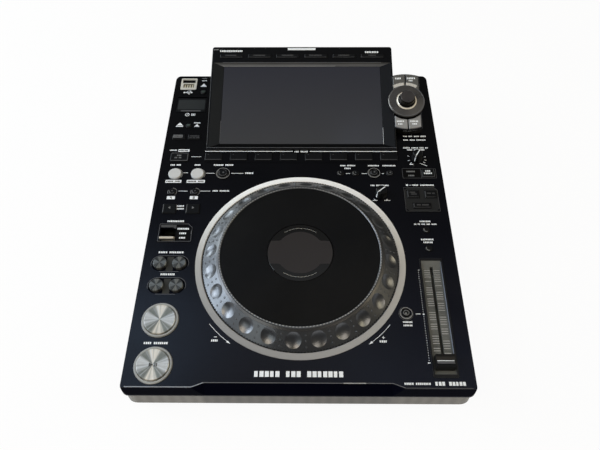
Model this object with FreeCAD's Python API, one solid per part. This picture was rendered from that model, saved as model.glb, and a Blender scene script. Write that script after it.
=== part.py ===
"""Tabletop media player for disc jockeys, with a jog wheel, a touch screen and a tempo slider.

Units are millimetres. The part stands on its feet: X runs to the right, Y to the rear and Z up,
and the origin is the middle of the footprint on the table.

Two working frames carry the controls. The panel frame lies on the sloping top panel: u is right,
v runs rearwards from the panel's front edge, w stands off the panel. The screen frame lies on the
raised screen housing: u is right, s runs up its slope from its front edge, t stands off it.
"""
import FreeCAD, Part
import math
import os

Vec = FreeCAD.Vector

# ---------------------------------------------------------------- overall size
BODY_WIDTH = 329.0
BODY_DEPTH = 453.0            # front lip to the ends of the rear sockets
FRONT_EDGE_HEIGHT = 41.5      # table to the front edge of the panel
PANEL_SLOPE = 5.0             # degrees
PANEL_LENGTH = 417.6          # along the slope
SOCKET_STAND_OUT = 10.5       # phono sockets past the rear face
REAR_TOP_HEIGHT = 57.0        # where the rear bevel meets the rear face

# casing
LIP_REACH = 4.5               # lip stands forward of the panel edge
LIP_DROP = 7.0
SPLIT_DROP = 8.5              # panel edge down to the joint between case and pan
BAND_DROP = 25.0              # panel edge down to the foot of the front band
NOTCH_DEPTH = 4.5             # middle of the front edge is set back
NOTCH_HALF_WIDTH = 87.0
NOTCH_RUN = 12.0
NOTCH_LEAD = 0.25             # part of the cut's run that lies above the panel
CASE_CORNER = 7.0
PAN_CORNER = 13.0
REAR_CORNER = 6.0
EDGE_ROUND = 1.2
WALL = 2.5
FRONT_WALL = 9.0
PANEL_SKIN = 3.0
PAN_WALL = 2.5
PAN_UNDERCUT = 12.0
PAN_SIDE_UNDERCUT = 8.0
FOOT_HEIGHT = 8.0
FOOT_RADIUS = 12.0
FOOT_TAPER = 1.5
FOOT_U = 135.0
FOOT_FRONT_Y = -188.0
FOOT_REAR_Y = 184.0

# fits
FIXED_GAP = 0.2               # fixed insert in its hole
BUTTON_GAP = 0.3              # button in its hole
RUNNING_GAP = 0.05            # shaft in its bore, on the radius
REST_GAP = 0.3                # moving piece over its seat

# buttons
FLANGE_WIDTH = 1.2            # keeps a button under its skin
FLANGE_THICKNESS = 1.2
STEM_RADIUS = 2.0
SWITCH_HEIGHT = 4.0
SWITCH_SIZE = 6.0
TRAVEL = 1.0
KEY_CORNER = 1.0
EDGE_BEVEL = 0.6
FINE_BEVEL = 0.4

# ---------------------------------------------------------------- jog wheel
JOG_U = 1.0
JOG_V = 136.5
TRIM_RADIUS = 110.0
TRIM_FACE = 5.4               # width of the trim ring's visible face
TRIM_COLLAR = 1.3
TRIM_HEIGHT = 1.6
JOG_RADIUS = 102.4
JOG_SKIRT = 3.5
JOG_SHOULDER = 1.0            # height of the cone's foot
CONE_TOP_RADIUS = 84.4
CONE_TOP = 15.0
JOG_WALL = 3.0
CROWN_TOP = 15.9
PLATTER_RADIUS = 81.9
PLATTER_TOP = 15.7
PLATTER_THICKNESS = 3.2
SHELF_RADIUS = 70.0
SHELF_THICKNESS = 2.5
DIMPLE_COUNT = 24
DIMPLE_DIAMETER = 16.5
DIMPLE_DEPTH = 1.6
DIMPLE_PHASE = 11.4           # degrees from the right
POST_RADIUS = 30.0
POST_WALL = 6.0
HUB_BOTTOM = -6.0
HUB_WALL = 6.0
SHOULDER_WIDTH = 4.0
SHOULDER_DEPTH = 6.0
DISPLAY_RADIUS = 34.0
DISPLAY_THICKNESS = 3.8
DISPLAY_GAP = 0.5
POST_FLANGE_RADIUS = 44.0
POST_FLANGE_THICKNESS = 3.0

# ---------------------------------------------------------------- screen housing
SCREEN_U = 1.2
SCREEN_V = 287.5
SCREEN_STEP = 3.0
SCREEN_TILT = 14.5            # degrees from the panel
SCREEN_WIDTH = 227.8
SCREEN_LENGTH = 145.1
SCREEN_RIM = 2.0
GLASS_WIDTH = 196.5
GLASS_START = 8.5
GLASS_LENGTH = 108.8
GLASS_DEPTH = 3.0
GLASS_LIP = 2.7
GLASS_THICKNESS = 1.5
MODULE_THICKNESS = 4.5
BEZEL_START = 2.2
BEZEL_END = 121.6
HOUSING_SKIN = 5.5
HOUSING_WALL = 2.5
HOUSING_CORNER = 3.0          # upright corners of its rear bevel
HOUSING_BACK_DROP = 18.0      # top edge down to the foot of its rear bevel
HOUSING_BACK_INSET = 3.0
HOUSING_SEAT = 12.0           # strip of panel left under the housing's rear
SCREEN_ROOM = 0.5
MENU_KEY_COUNT = 6
MENU_KEY_PITCH = 35.7
MENU_KEY_SIZE = (28.8, 5.6)
MENU_KEY_S = 131.3
MENU_KEY_TOP = 0.8

# browse island, to the right of the screen and level with it
ISLAND_LEFT = 113.0
ISLAND_RIGHT = 147.2
ISLAND_FRONT = 28.5
ISLAND_REAR = 102.0
ISLAND_BULGE = 2.8
ISLAND_SKIN = 2.5
ISLAND_WALL = 2.0
SELECTOR_U = 129.0
SELECTOR_S = 63.5
SELECTOR_FLANGE_RADIUS = 22.0
SELECTOR_FLANGE_TOP = 5.2
SELECTOR_RADIUS = 8.7
SELECTOR_TOP = 14.2
SELECTOR_LIFT = 1.5
SELECTOR_FLARE = 2.7
SELECTOR_SHAFT_RADIUS = 3.0
SELECTOR_PUSH = 0.5
BROWSE_KEY_TOP = 1.4
BROWSE_KEY_INSET = 1.5
BROWSE_KEY_GAP = 1.4
BROWSE_ARC_GAP = 1.6
BROWSE_TRAVEL = 0.6
BROWSE_STEM_INSET = 4.5
BROWSE_BOARD_DROP = 9.0
BROWSE_BOARD = (26.0, 66.0)
BROWSE_POST_SPREAD = 14.0
BUSH_WALL = 2.4
KNOB_CROWN = 3.0              # knob's thickness over the end of its shaft

# ---------------------------------------------------------------- controls on the panel
LEFT_U = -136.5
PLAY_V = 21.0
CUE_V = 67.0
PLAY_RADIUS = 15.5
PLAY_TOP = 3.0
PLAY_DISH = 0.5
COLLAR_RADIUS = 18.3
COLLAR_TOP = 1.9
COLLAR_BODY = 1.7

SEARCH_U = -135.6
SEARCH_PITCH = 20.3
SEARCH_V = 105.2
TRACK_V = 131.5
SEARCH_RADIUS = 7.1
SEARCH_TOP = 3.0
SEARCH_WELL_HALF = 8.9
SEARCH_WELL_DEPTH = 0.8
SEARCH_WELL_CORNER = 8.8

DIRECTION_U = -134.8
DIRECTION_V = 169.9
DIRECTION_SIZE = (36.4, 23.3)
DIRECTION_CHAMFER = 5.0
RIM_HEIGHT = 0.8
RIM_WIDTH = 1.2
LEVER_U = -142.8
LEVER_V = 167.5
LEVER_WIDTH = 15.4
LEVER_THICKNESS = 2.6
LEVER_PIVOT_DEPTH = 9.0
LEVER_LENGTH = 14.4
LEVER_LEAN = 25.5             # degrees to the front at rest
LEVER_HUB_RADIUS = 2.6
LEVER_PIN_RADIUS = 1.5
LEVER_WELL = (16.9, 17.4)
LEVER_CHEEK = 1.8

LEFT_PAIR_U = -132.4
LEFT_PAIR_PITCH = 26.2
BEAT_JUMP_V = 201.9
BEAT_JUMP_SIZE = (15.2, 13.0)
BEAT_JUMP_TOP = 1.0
BEAT_LOOP_V = 225.9
BEAT_LOOP_RADIUS = 4.2
BEAT_LOOP_TOP = 1.4
LOOP_V = 251.3
LOOP_RADIUS = 7.5
LOOP_TOP = 2.5
RELOOP_UV = (-89.8, 252.3)
RELOOP_RADIUS = 5.5
RELOOP_RING = 8.2
SLIP_UV = (-143.5, 277.3)
SLIP_SIZE = (21.4, 13.3)
MODE_U = -138.8
MODE_PITCH = 18.8
MODE_V = 309.2
MODE_SIZE = (15.4, 7.4)
STOP_UVS = ((-138.6, 328.3), (-126.0, 387.4))
STOP_RADIUS = 3.5
SMALL_TOP = 1.2

HOT_CUE_COUNT = 8
HOT_CUE_PITCH = 29.7
HOT_CUE_V = 278.0
HOT_CUE_SIZE = (20.5, 11.5)
HOT_CUE_TOP = 1.1
STRIP_SIZE = (230.0, 18.0)
STRIP_HEIGHT = 0.3
STRIP_CORNER = 1.5

CALL_U = 55.4
CALL_PITCH = 17.5
CALL_V = 253.2
CALL_RADIUS = 4.0
DELETE_U = 85.6
DELETE_RADIUS = 4.6
DELETE_RING = 7.4
MEMORY_U = 104.0

JOG_ADJUST_UV = (91.4, 222.4)
JOG_ADJUST_RADIUS = 7.0
VINYL_UV = (137.5, 276.0)
VINYL_RADIUS = 6.5
KNOB_HEIGHT = 10.0
KNOB_LIFT = 0.6
KNOB_TAPER = 1.0
KNOB_SHAFT_RADIUS = 3.0
KNOB_SHAFT_END = -8.0

JOG_MODE_UV = (138.0, 252.9)
JOG_MODE_SIZE = (39.2, 14.7)
JOG_MODE_KEY_U = 148.7
JOG_MODE_KEY_SIZE = (14.8, 12.2)
SYNC_UV = (136.8, 215.5)
SYNC_SIZE = (38.7, 34.2)
SYNC_CHAMFER = 4.0
SYNC_TOP_KEYS = ((127.8, 222.2), (147.6, 222.2))
SYNC_TOP_SIZE = (13.2, 10.4)
SYNC_LOW_KEY = (136.2, 206.3)
SYNC_LOW_SIZE = (19.4, 7.2)

TEMPO_U = 137.3
TEMPO_KEY_VS = (174.4, 150.7)
TEMPO_KEY_RADIUS = 3.8
RESET_UV = (106.0, 75.2)
RESET_RADIUS = 3.9
RESET_RING = 6.5
RING_HEIGHT = 1.0
RING_WIDTH = 1.6

SLIDER_V = 74.6
SLIDER_SIZE = (23.9, 128.5)
SLIDER_OPENING = (20.8, 122.5)
SLIDER_RIM = 0.8
SLIDER_FLOOR = -1.8
SLIDER_DEPTH = 9.2
SLIDER_SIDE = 1.0
SLIDER_SLIT = 3.2
SLIDER_RAMP = 10.0
SLIDER_RIB_PITCH = 2.5
SLIDER_RIB_WIDTH = 1.0
SLIDER_RIB_HEIGHT = 0.5
TEMPO_TRAVEL = 100.0
CAP_SIZE = (17.8, 14.0)
CAP_TOP = 9.0
CAP_FOOT = -0.6
CAP_DIP = 3.0
CARRIAGE = (10.0, 16.0, 2.2)
CARRIAGE_BOTTOM = -7.4
CAP_TAPER = 1.5
NECK_LENGTH = 8.0

# media sockets at the rear left
DOOR_U = -139.0
DOOR_FRONT_V = 352.1
DOOR_SIZE = (36.6, 24.0)
DOOR_THICKNESS = 1.6
DOOR_LIP = 2.6
DOOR_LIP_HEIGHT = 0.5
DOOR_BARREL_RADIUS = 1.3
DOOR_PIN_RADIUS = 0.9
DOOR_PIN_LENGTH = 1.5
DOOR_SWING_ROOM = 2.2
CARD_POCKET = (32.0, 19.0, 6.0)
CARD_SLOT = (24.6, 2.6, 2.0)
USB_U = -146.7
USB_V = 402.6
USB_SIZE = (20.6, 20.8)
USB_SLOT = (16.8, 6.4, 13.0)
USB_SLOT_OFFSET = 5.0
USB_CONTACT_OFFSET = -3.2
USB_CONTACT_SIZE = (14.0, 7.2)
USB_CONTACT_DEPTH = 1.2
USB_STAND_OUT = 0.4
SOCKET_BLOCK_DEPTH = 12.0
USB_BLOCK_DEPTH = 15.0
SOCKET_MARGIN = 2.0

# ---------------------------------------------------------------- inside
BOARD_TOP = -12.4             # control board below the panel
BOARD_THICKNESS = 1.6
BOARD_HALF_WIDTH = 150.0
BOARD_FRONT = 10.0
BOARD_MIDDLE = 345.0
BOARD_REAR = 398.0
BOARD_NOTCH_U = -104.0
BOARD_REAR_U = 130.0
BOARD_HOLE = 46.0
STANDOFF_RADIUS = 3.0
STANDOFFS = ((-112.0, 12.0), (112.0, 12.0), (-105.0, 262.0), (112.0, 264.0), (-99.0, 380.0), (118.0, 392.0))
CASE_BOSS_RADIUS = 3.2
CASE_BOSS_U = 158.0
CASE_BOSS_VS = (44.0, 190.0, 340.0)
LEDGE_RADIUS = 5.5            # seat in the pan under each case boss
LEDGE_HEIGHT = 7.5            # above the pan's floor
PAN_BOSS_RADIUS = 4.0
PAN_BOSS_HEIGHT = 4.0
PAN_BOSS_INSET = 6.0
MAIN_BOARD = (-40.0, 142.0, 40.0, 192.0)
MAIN_CHIPS = ((20.0, 120.0, 34.0, 6.0), (80.0, 90.0, 24.0, 4.0), (100.0, 160.0, 18.0, 9.0))
POWER_BOARD = (-150.0, -56.0, 40.0, 192.0)
POWER_PARTS = ((-120.0, 90.0, 34.0, 26.0), (-80.0, 120.0, 22.0, 20.0), (-125.0, 150.0, 18.0, 24.0))

# ---------------------------------------------------------------- rear
REAR_PLATE = 2.5
REAR_PLATE_HALF = 158.0
REAR_PLATE_BOTTOM = 12.0
REAR_PLATE_TOP = 53.0
SOCKET_Z = 32.0
STAND_OUT = 0.8               # socket fronts past the rear panel
INLET_X = -124.0
INLET_BLOCK = (30.0, 23.0, 20.0)
INLET_OPENING = (24.0, 16.0, 16.0)
INLET_FLANGE = 3.0
INLET_PIN = (2.0, 4.0, 7.0)
INLET_PIN_SPREAD = 7.0
INLET_PIN_RISE = 2.0
SWITCH_X = -92.0
SWITCH_BLOCK = (17.0, 13.0, 13.0)
SWITCH_CAVITY = (12.6, 9.2)
ROCKER = (12.0, 7.4)
ROCKER_REACH = 4.6
ROCKER_DIP = 1.2
ROCKER_BACK = 2.5
ROCKER_PIVOT = 5.0
ROCKER_PIN_RADIUS = 1.0
ROCKER_ANGLE = 7.0
ROCKER_PIN_REACH = 1.6
LAN_X = -14.0
LAN_BLOCK = (16.0, 14.0, 18.0)
LAN_OPENING = (12.0, 8.4, 13.0)
USB_B_X = 18.0
USB_B_BLOCK = (12.4, 11.4, 16.0)
USB_B_OPENING = (8.6, 7.8, 10.0)
PHONO_XS = (62.0, 100.0, 120.0)
PHONO_RADIUS = 4.15
PHONO_BORE = 1.7
PHONO_NECK = 4.9              # radius where it passes the rear plate
PHONO_BODY_RADIUS = 6.4
PHONO_BODY_LENGTH = 9.0
VENT_COUNT = 9
VENT_PITCH = 6.0
VENT_SIZE = (2.4, 18.0)
VENT_X = -52.0

# ---------------------------------------------------------------- derived places
HALF_WIDTH = BODY_WIDTH / 2
FRONT_Y = -BODY_DEPTH / 2
PANEL_Y = FRONT_Y + LIP_REACH
REAR_Y = BODY_DEPTH / 2 - SOCKET_STAND_OUT
SPLIT_Z = FRONT_EDGE_HEIGHT - SPLIT_DROP
FLOOR_Z = FOOT_HEIGHT + PAN_WALL
HOLE_RADIUS = TRIM_RADIUS - TRIM_FACE
STEM_END = BOARD_TOP + SWITCH_HEIGHT + TRAVEL + REST_GAP
LOW = -60.0                   # below everything, for cutters
HIGH = 60.0
OVER = 1.0                    # cutters pass a face by this much
TINY = 1e-4

SLOPE = math.radians(PANEL_SLOPE)
TILT = math.radians(SCREEN_TILT)


# ================================================================ helpers
def row_point(v, w):
    """A point of the panel frame's middle plane, as (y, z) of the part."""
    y = PANEL_Y + v * math.cos(SLOPE) - w * math.sin(SLOPE)
    z = FRONT_EDGE_HEIGHT + v * math.sin(SLOPE) + w * math.cos(SLOPE)
    return y, z


def screen_point(s, t):
    """A point of the screen frame's middle plane, as (y, z) of the part."""
    v = SCREEN_V + s * math.cos(TILT) - t * math.sin(TILT)
    w = SCREEN_STEP + s * math.sin(TILT) + t * math.cos(TILT)
    return row_point(v, w)


def on_panel(shape):
    placed = shape.copy()
    placed.rotate(Vec(0, 0, 0), Vec(1, 0, 0), PANEL_SLOPE)
    placed.translate(Vec(0, PANEL_Y, FRONT_EDGE_HEIGHT))
    return placed


def on_screen(shape):
    placed = shape.copy()
    placed.rotate(Vec(0, 0, 0), Vec(1, 0, 0), SCREEN_TILT)
    placed.translate(Vec(0, SCREEN_V, SCREEN_STEP))
    return on_panel(placed)


def block(x0, x1, y0, y1, z0, z1):
    return Part.makeBox(x1 - x0, y1 - y0, z1 - z0, Vec(x0, y0, z0))


def centred_block(centre, size, bottom, top):
    x, y = centre
    a, b = size
    return block(x - a / 2, x + a / 2, y - b / 2, y + b / 2, bottom, top)


def disc(centre, radius, bottom, top):
    return Part.makeCylinder(radius, top - bottom, Vec(centre[0], centre[1], bottom))


def polygon_face(points):
    return Part.Face(Part.makePolygon(list(points) + [points[0]]))


def side_prism(profile, x0, x1):
    """A (y, z) outline drawn out along X."""
    face = polygon_face([Vec(x0, y, z) for y, z in profile])
    return face.extrude(Vec(x1 - x0, 0, 0))


def turned(profile, centre=(0.0, 0.0)):
    """A (radius, height) outline turned about the vertical axis through centre."""
    face = polygon_face([Vec(r, 0, h) for r, h in profile])
    solid = face.revolve(Vec(0, 0, 0), Vec(0, 0, 1), 360)
    solid.translate(Vec(centre[0], centre[1], 0))
    return solid


def rounded_wire(x0, x1, y0, y1, radii, height):
    """Rectangle with a radius at each corner: front left, front right, rear right, rear left."""
    corners = ((x0, y0, 1, 1), (x1, y0, -1, 1), (x1, y1, -1, -1), (x0, y1, 1, -1))
    half = math.sqrt(0.5)
    edges = []
    ends = []
    for index, ((x, y, sx, sy), radius) in enumerate(zip(corners, radii)):
        along_x = Vec(x + sx * radius, y, height)
        along_y = Vec(x, y + sy * radius, height)
        first, last = (along_y, along_x) if index % 2 == 0 else (along_x, along_y)
        middle = Vec(x + sx * radius * (1 - half), y + sy * radius * (1 - half), height)
        edges.append(Part.Arc(first, middle, last).toShape())
        ends.append((first, last))
    for index in range(len(ends)):
        start = ends[index][1]
        stop = ends[(index + 1) % len(ends)][0]
        edges.append(Part.LineSegment(start, stop).toShape())
    return Part.Wire(Part.__sortEdges__(edges))


def rounded_block(centre, size, bottom, top, radius):
    x, y = centre
    a, b = size
    wire = rounded_wire(x - a / 2, x + a / 2, y - b / 2, y + b / 2, [radius] * 4, bottom)
    return Part.Face(wire).extrude(Vec(0, 0, top - bottom))


def bevel_top(shape, width, top):
    """Bevels every edge that lies in the plane z = top."""
    edges = []
    for edge in shape.Edges:
        if abs(edge.BoundBox.ZMin - top) < TINY and abs(edge.BoundBox.ZMax - top) < TINY:
            edges.append(edge)
    return shape.makeChamfer(width, edges)


def chamfered_plate(centre, size, bottom, top, chamfer):
    """Plate with its rear right corner cut off."""
    x, y = centre
    a, b = size
    points = (
        (x - a / 2, y - b / 2), (x + a / 2, y - b / 2), (x + a / 2, y + b / 2 - chamfer),
        (x + a / 2 - chamfer, y + b / 2), (x - a / 2, y + b / 2),
    )
    return polygon_face([Vec(p, q, bottom) for p, q in points]).extrude(Vec(0, 0, top - bottom))


def joined(shapes):
    first = shapes[0]
    return first.fuse(shapes[1:]).removeSplitter() if len(shapes) > 1 else first


# ================================================================ controls
nodes = {}
panel_cuts = []               # what the top case loses, in the panel frame
panel_adds = []               # what the top case gains, in the panel frame
switches = []                 # tact switches on the control board, in the panel frame


def round_button(centre, radius, top, dish=0.0):
    """Turned cap with a retaining flange under the panel and a stem over its switch."""
    under = -PANEL_SKIN - REST_GAP
    profile = [
        (0, top - dish), (radius - 2 * EDGE_BEVEL, top),
        (radius - EDGE_BEVEL, top), (radius, top - EDGE_BEVEL),
        (radius, under), (radius + FLANGE_WIDTH, under), (radius + FLANGE_WIDTH, under - FLANGE_THICKNESS),
        (STEM_RADIUS, under - FLANGE_THICKNESS), (STEM_RADIUS, STEM_END), (0, STEM_END),
    ]
    panel_cuts.append(disc(centre, radius + BUTTON_GAP, LOW, HIGH))
    switches.append(centred_block(centre, (SWITCH_SIZE, SWITCH_SIZE), BOARD_TOP, BOARD_TOP + SWITCH_HEIGHT))
    return turned(profile, centre)


def flanged_key(centre, size, top, seat, stem=None):
    """Rectangular key with a bevelled top, a retaining flange and a stem."""
    under = seat - REST_GAP
    cap = bevel_top(rounded_block(centre, size, under, top, KEY_CORNER), EDGE_BEVEL, top)
    wide = (size[0] + 2 * FLANGE_WIDTH, size[1] + 2 * FLANGE_WIDTH)
    flange = centred_block(centre, wide, under - FLANGE_THICKNESS, under)
    pieces = [cap, flange]
    if stem is not None:
        pieces.append(disc(centre, STEM_RADIUS, stem, under - FLANGE_THICKNESS))
    return joined(pieces)


def panel_key(centre, size, top):
    hole = (size[0] + 2 * BUTTON_GAP, size[1] + 2 * BUTTON_GAP)
    panel_cuts.append(rounded_block(centre, hole, LOW, HIGH, KEY_CORNER + BUTTON_GAP))
    switches.append(centred_block(centre, (SWITCH_SIZE, SWITCH_SIZE), BOARD_TOP, BOARD_TOP + SWITCH_HEIGHT))
    return flanged_key(centre, size, top, -PANEL_SKIN, STEM_END)


def raised_ring(centre, outer):
    """Ring moulded on the panel round a small button."""
    inside = disc(centre, outer - RING_WIDTH, 0, RING_HEIGHT)
    panel_adds.append(disc(centre, outer, 0, RING_HEIGHT).cut(inside))


def pair(centre_u, pitch, v):
    return (centre_u - pitch / 2, v), (centre_u + pitch / 2, v)


def make_left_controls():
    collars = []
    for name, v in (("play_button", PLAY_V), ("cue_button", CUE_V)):
        centre = (LEFT_U, v)
        nodes[name] = round_button(centre, PLAY_RADIUS, PLAY_TOP, PLAY_DISH)
        inner = PLAY_RADIUS + BUTTON_GAP
        body = inner + COLLAR_BODY
        profile = [
            (inner, -PANEL_SKIN), (body, -PANEL_SKIN), (body, 0), (COLLAR_RADIUS, 0),
            (COLLAR_RADIUS, COLLAR_TOP / 2), (COLLAR_RADIUS - EDGE_BEVEL, COLLAR_TOP),
            (inner + EDGE_BEVEL, COLLAR_TOP), (inner, COLLAR_TOP - EDGE_BEVEL),
        ]
        collars.append(turned(profile, centre))
        panel_cuts.append(disc(centre, body + FIXED_GAP, LOW, HIGH))
    nodes["button_collars"] = Part.makeCompound(collars)

    for stem_name, v in (("search", SEARCH_V), ("track", TRACK_V)):
        for way, centre in zip(("back", "forward"), pair(SEARCH_U, SEARCH_PITCH, v)):
            nodes[stem_name + "_" + way] = round_button(centre, SEARCH_RADIUS, SEARCH_TOP)
        well = (SEARCH_PITCH + 2 * SEARCH_WELL_HALF, 2 * SEARCH_WELL_HALF)
        panel_cuts.append(rounded_block((SEARCH_U, v), well, -SEARCH_WELL_DEPTH, HIGH, SEARCH_WELL_CORNER))

    for way, centre in zip(("back", "forward"), pair(LEFT_PAIR_U, LEFT_PAIR_PITCH, BEAT_JUMP_V)):
        nodes["beat_jump_" + way] = panel_key(centre, BEAT_JUMP_SIZE, BEAT_JUMP_TOP)
    loops = pair(LEFT_PAIR_U, LEFT_PAIR_PITCH, BEAT_LOOP_V)
    caps = [round_button(c, BEAT_LOOP_RADIUS, BEAT_LOOP_TOP) for c in loops]
    nodes["beat_loop_keys"] = Part.makeCompound(caps)
    for way, centre in zip(("in", "out"), pair(LEFT_PAIR_U, LEFT_PAIR_PITCH, LOOP_V)):
        nodes["loop_" + way] = round_button(centre, LOOP_RADIUS, LOOP_TOP)
    nodes["reloop_button"] = round_button(RELOOP_UV, RELOOP_RADIUS, SMALL_TOP + RING_HEIGHT)
    raised_ring(RELOOP_UV, RELOOP_RING)
    nodes["slip_button"] = panel_key(SLIP_UV, SLIP_SIZE, BEAT_JUMP_TOP)
    modes = pair(MODE_U, MODE_PITCH, MODE_V)
    nodes["mode_keys"] = Part.makeCompound([panel_key(c, MODE_SIZE, BEAT_JUMP_TOP) for c in modes])
    nodes["media_stop_keys"] = Part.makeCompound([round_button(c, STOP_RADIUS, SMALL_TOP) for c in STOP_UVS])


def make_direction_lever():
    plate = chamfered_plate((DIRECTION_U, DIRECTION_V), DIRECTION_SIZE, 0, RIM_HEIGHT, DIRECTION_CHAMFER)
    inner = (DIRECTION_SIZE[0] - 2 * RIM_WIDTH, DIRECTION_SIZE[1] - 2 * RIM_WIDTH)
    hole = chamfered_plate((DIRECTION_U, DIRECTION_V), inner, 0, RIM_HEIGHT, DIRECTION_CHAMFER)
    panel_adds.append(plate.cut(hole))
    panel_cuts.append(centred_block((LEVER_U, LEVER_V), LEVER_WELL, LOW, HIGH))

    hub_half = LEVER_WELL[0] / 2
    axis_start = Vec(LEVER_U - hub_half, LEVER_V, -LEVER_PIVOT_DEPTH)
    along = Vec(1, 0, 0)
    hub = Part.makeCylinder(LEVER_HUB_RADIUS, 2 * hub_half, axis_start, along)
    pin_reach = LEVER_CHEEK + REST_GAP
    pin_start = axis_start - along * pin_reach
    pin = Part.makeCylinder(LEVER_PIN_RADIUS, 2 * (hub_half + pin_reach), pin_start, along)
    blade = centred_block((LEVER_U, LEVER_V), (LEVER_WIDTH, LEVER_THICKNESS), -LEVER_PIVOT_DEPTH,
                          LEVER_LENGTH - LEVER_PIVOT_DEPTH)
    blade = bevel_top(blade, EDGE_BEVEL, LEVER_LENGTH - LEVER_PIVOT_DEPTH)
    blade.rotate(Vec(0, LEVER_V, -LEVER_PIVOT_DEPTH), along, LEVER_LEAN)
    nodes["direction_lever"] = joined([hub, pin, blade])

    for side in (-1, 1):
        cheek_u = LEVER_U + side * (hub_half + REST_GAP + LEVER_CHEEK / 2)
        u0 = cheek_u - LEVER_CHEEK / 2
        cheek = block(u0, u0 + LEVER_CHEEK, LEVER_V - 2 * LEVER_HUB_RADIUS, LEVER_V + 2 * LEVER_HUB_RADIUS,
                      -LEVER_PIVOT_DEPTH - LEVER_HUB_RADIUS, -PANEL_SKIN)
        bore_radius = LEVER_PIN_RADIUS + RUNNING_GAP
        bore_start = Vec(u0, LEVER_V, -LEVER_PIVOT_DEPTH)
        panel_adds.append(cheek.cut(Part.makeCylinder(bore_radius, LEVER_CHEEK, bore_start, along)))


def make_upper_controls():
    panel_adds.append(rounded_block((JOG_U, HOT_CUE_V), STRIP_SIZE, 0, STRIP_HEIGHT, STRIP_CORNER))
    first_u = JOG_U - HOT_CUE_PITCH * (HOT_CUE_COUNT - 1) / 2
    for index in range(HOT_CUE_COUNT):
        centre = (first_u + index * HOT_CUE_PITCH, HOT_CUE_V)
        nodes["hot_cue_%d" % (index + 1)] = panel_key(centre, HOT_CUE_SIZE, HOT_CUE_TOP)
    calls = pair(CALL_U, CALL_PITCH, CALL_V)
    nodes["call_keys"] = Part.makeCompound([round_button(c, CALL_RADIUS, SMALL_TOP) for c in calls])
    nodes["delete_button"] = round_button((DELETE_U, CALL_V), DELETE_RADIUS, SMALL_TOP + RING_HEIGHT)
    raised_ring((DELETE_U, CALL_V), DELETE_RING)
    nodes["memory_button"] = round_button((MEMORY_U, CALL_V), CALL_RADIUS, SMALL_TOP)


def knob(centre, radius):
    """Tall tapered knob on a shaft that turns in a bush under the panel."""
    crown = radius - KNOB_TAPER
    profile = [
        (0, KNOB_HEIGHT), (crown - EDGE_BEVEL, KNOB_HEIGHT),
        (crown, KNOB_HEIGHT - EDGE_BEVEL), (radius, KNOB_LIFT),
        (KNOB_SHAFT_RADIUS, KNOB_LIFT), (KNOB_SHAFT_RADIUS, KNOB_SHAFT_END), (0, KNOB_SHAFT_END),
    ]
    bush_radius = KNOB_SHAFT_RADIUS + WALL
    panel_adds.append(disc(centre, bush_radius, KNOB_SHAFT_END + OVER, 0))
    panel_cuts.append(disc(centre, KNOB_SHAFT_RADIUS + RUNNING_GAP, LOW, HIGH))
    return turned(profile, centre)


def make_right_controls():
    nodes["jog_adjust_knob"] = knob(JOG_ADJUST_UV, JOG_ADJUST_RADIUS)
    nodes["vinyl_speed_knob"] = knob(VINYL_UV, VINYL_RADIUS)

    frame = centred_block(JOG_MODE_UV, JOG_MODE_SIZE, 0, RIM_HEIGHT / 2)
    panel_adds.append(frame)
    nodes["jog_mode_button"] = panel_key((JOG_MODE_KEY_U, JOG_MODE_UV[1]), JOG_MODE_KEY_SIZE, BEAT_JUMP_TOP)

    panel_adds.append(chamfered_plate(SYNC_UV, SYNC_SIZE, 0, RIM_HEIGHT, SYNC_CHAMFER))
    keys = [panel_key(c, SYNC_TOP_SIZE, BEAT_JUMP_TOP + RIM_HEIGHT) for c in SYNC_TOP_KEYS]
    keys.append(panel_key(SYNC_LOW_KEY, SYNC_LOW_SIZE, BEAT_JUMP_TOP + RIM_HEIGHT))
    nodes["sync_keys"] = Part.makeCompound(keys)

    tempo = [round_button((TEMPO_U, v), TEMPO_KEY_RADIUS, SMALL_TOP) for v in TEMPO_KEY_VS]
    tempo.append(round_button(RESET_UV, RESET_RADIUS, SMALL_TOP + RING_HEIGHT))
    nodes["tempo_keys"] = Part.makeCompound(tempo)
    raised_ring(RESET_UV, RESET_RING)


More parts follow.
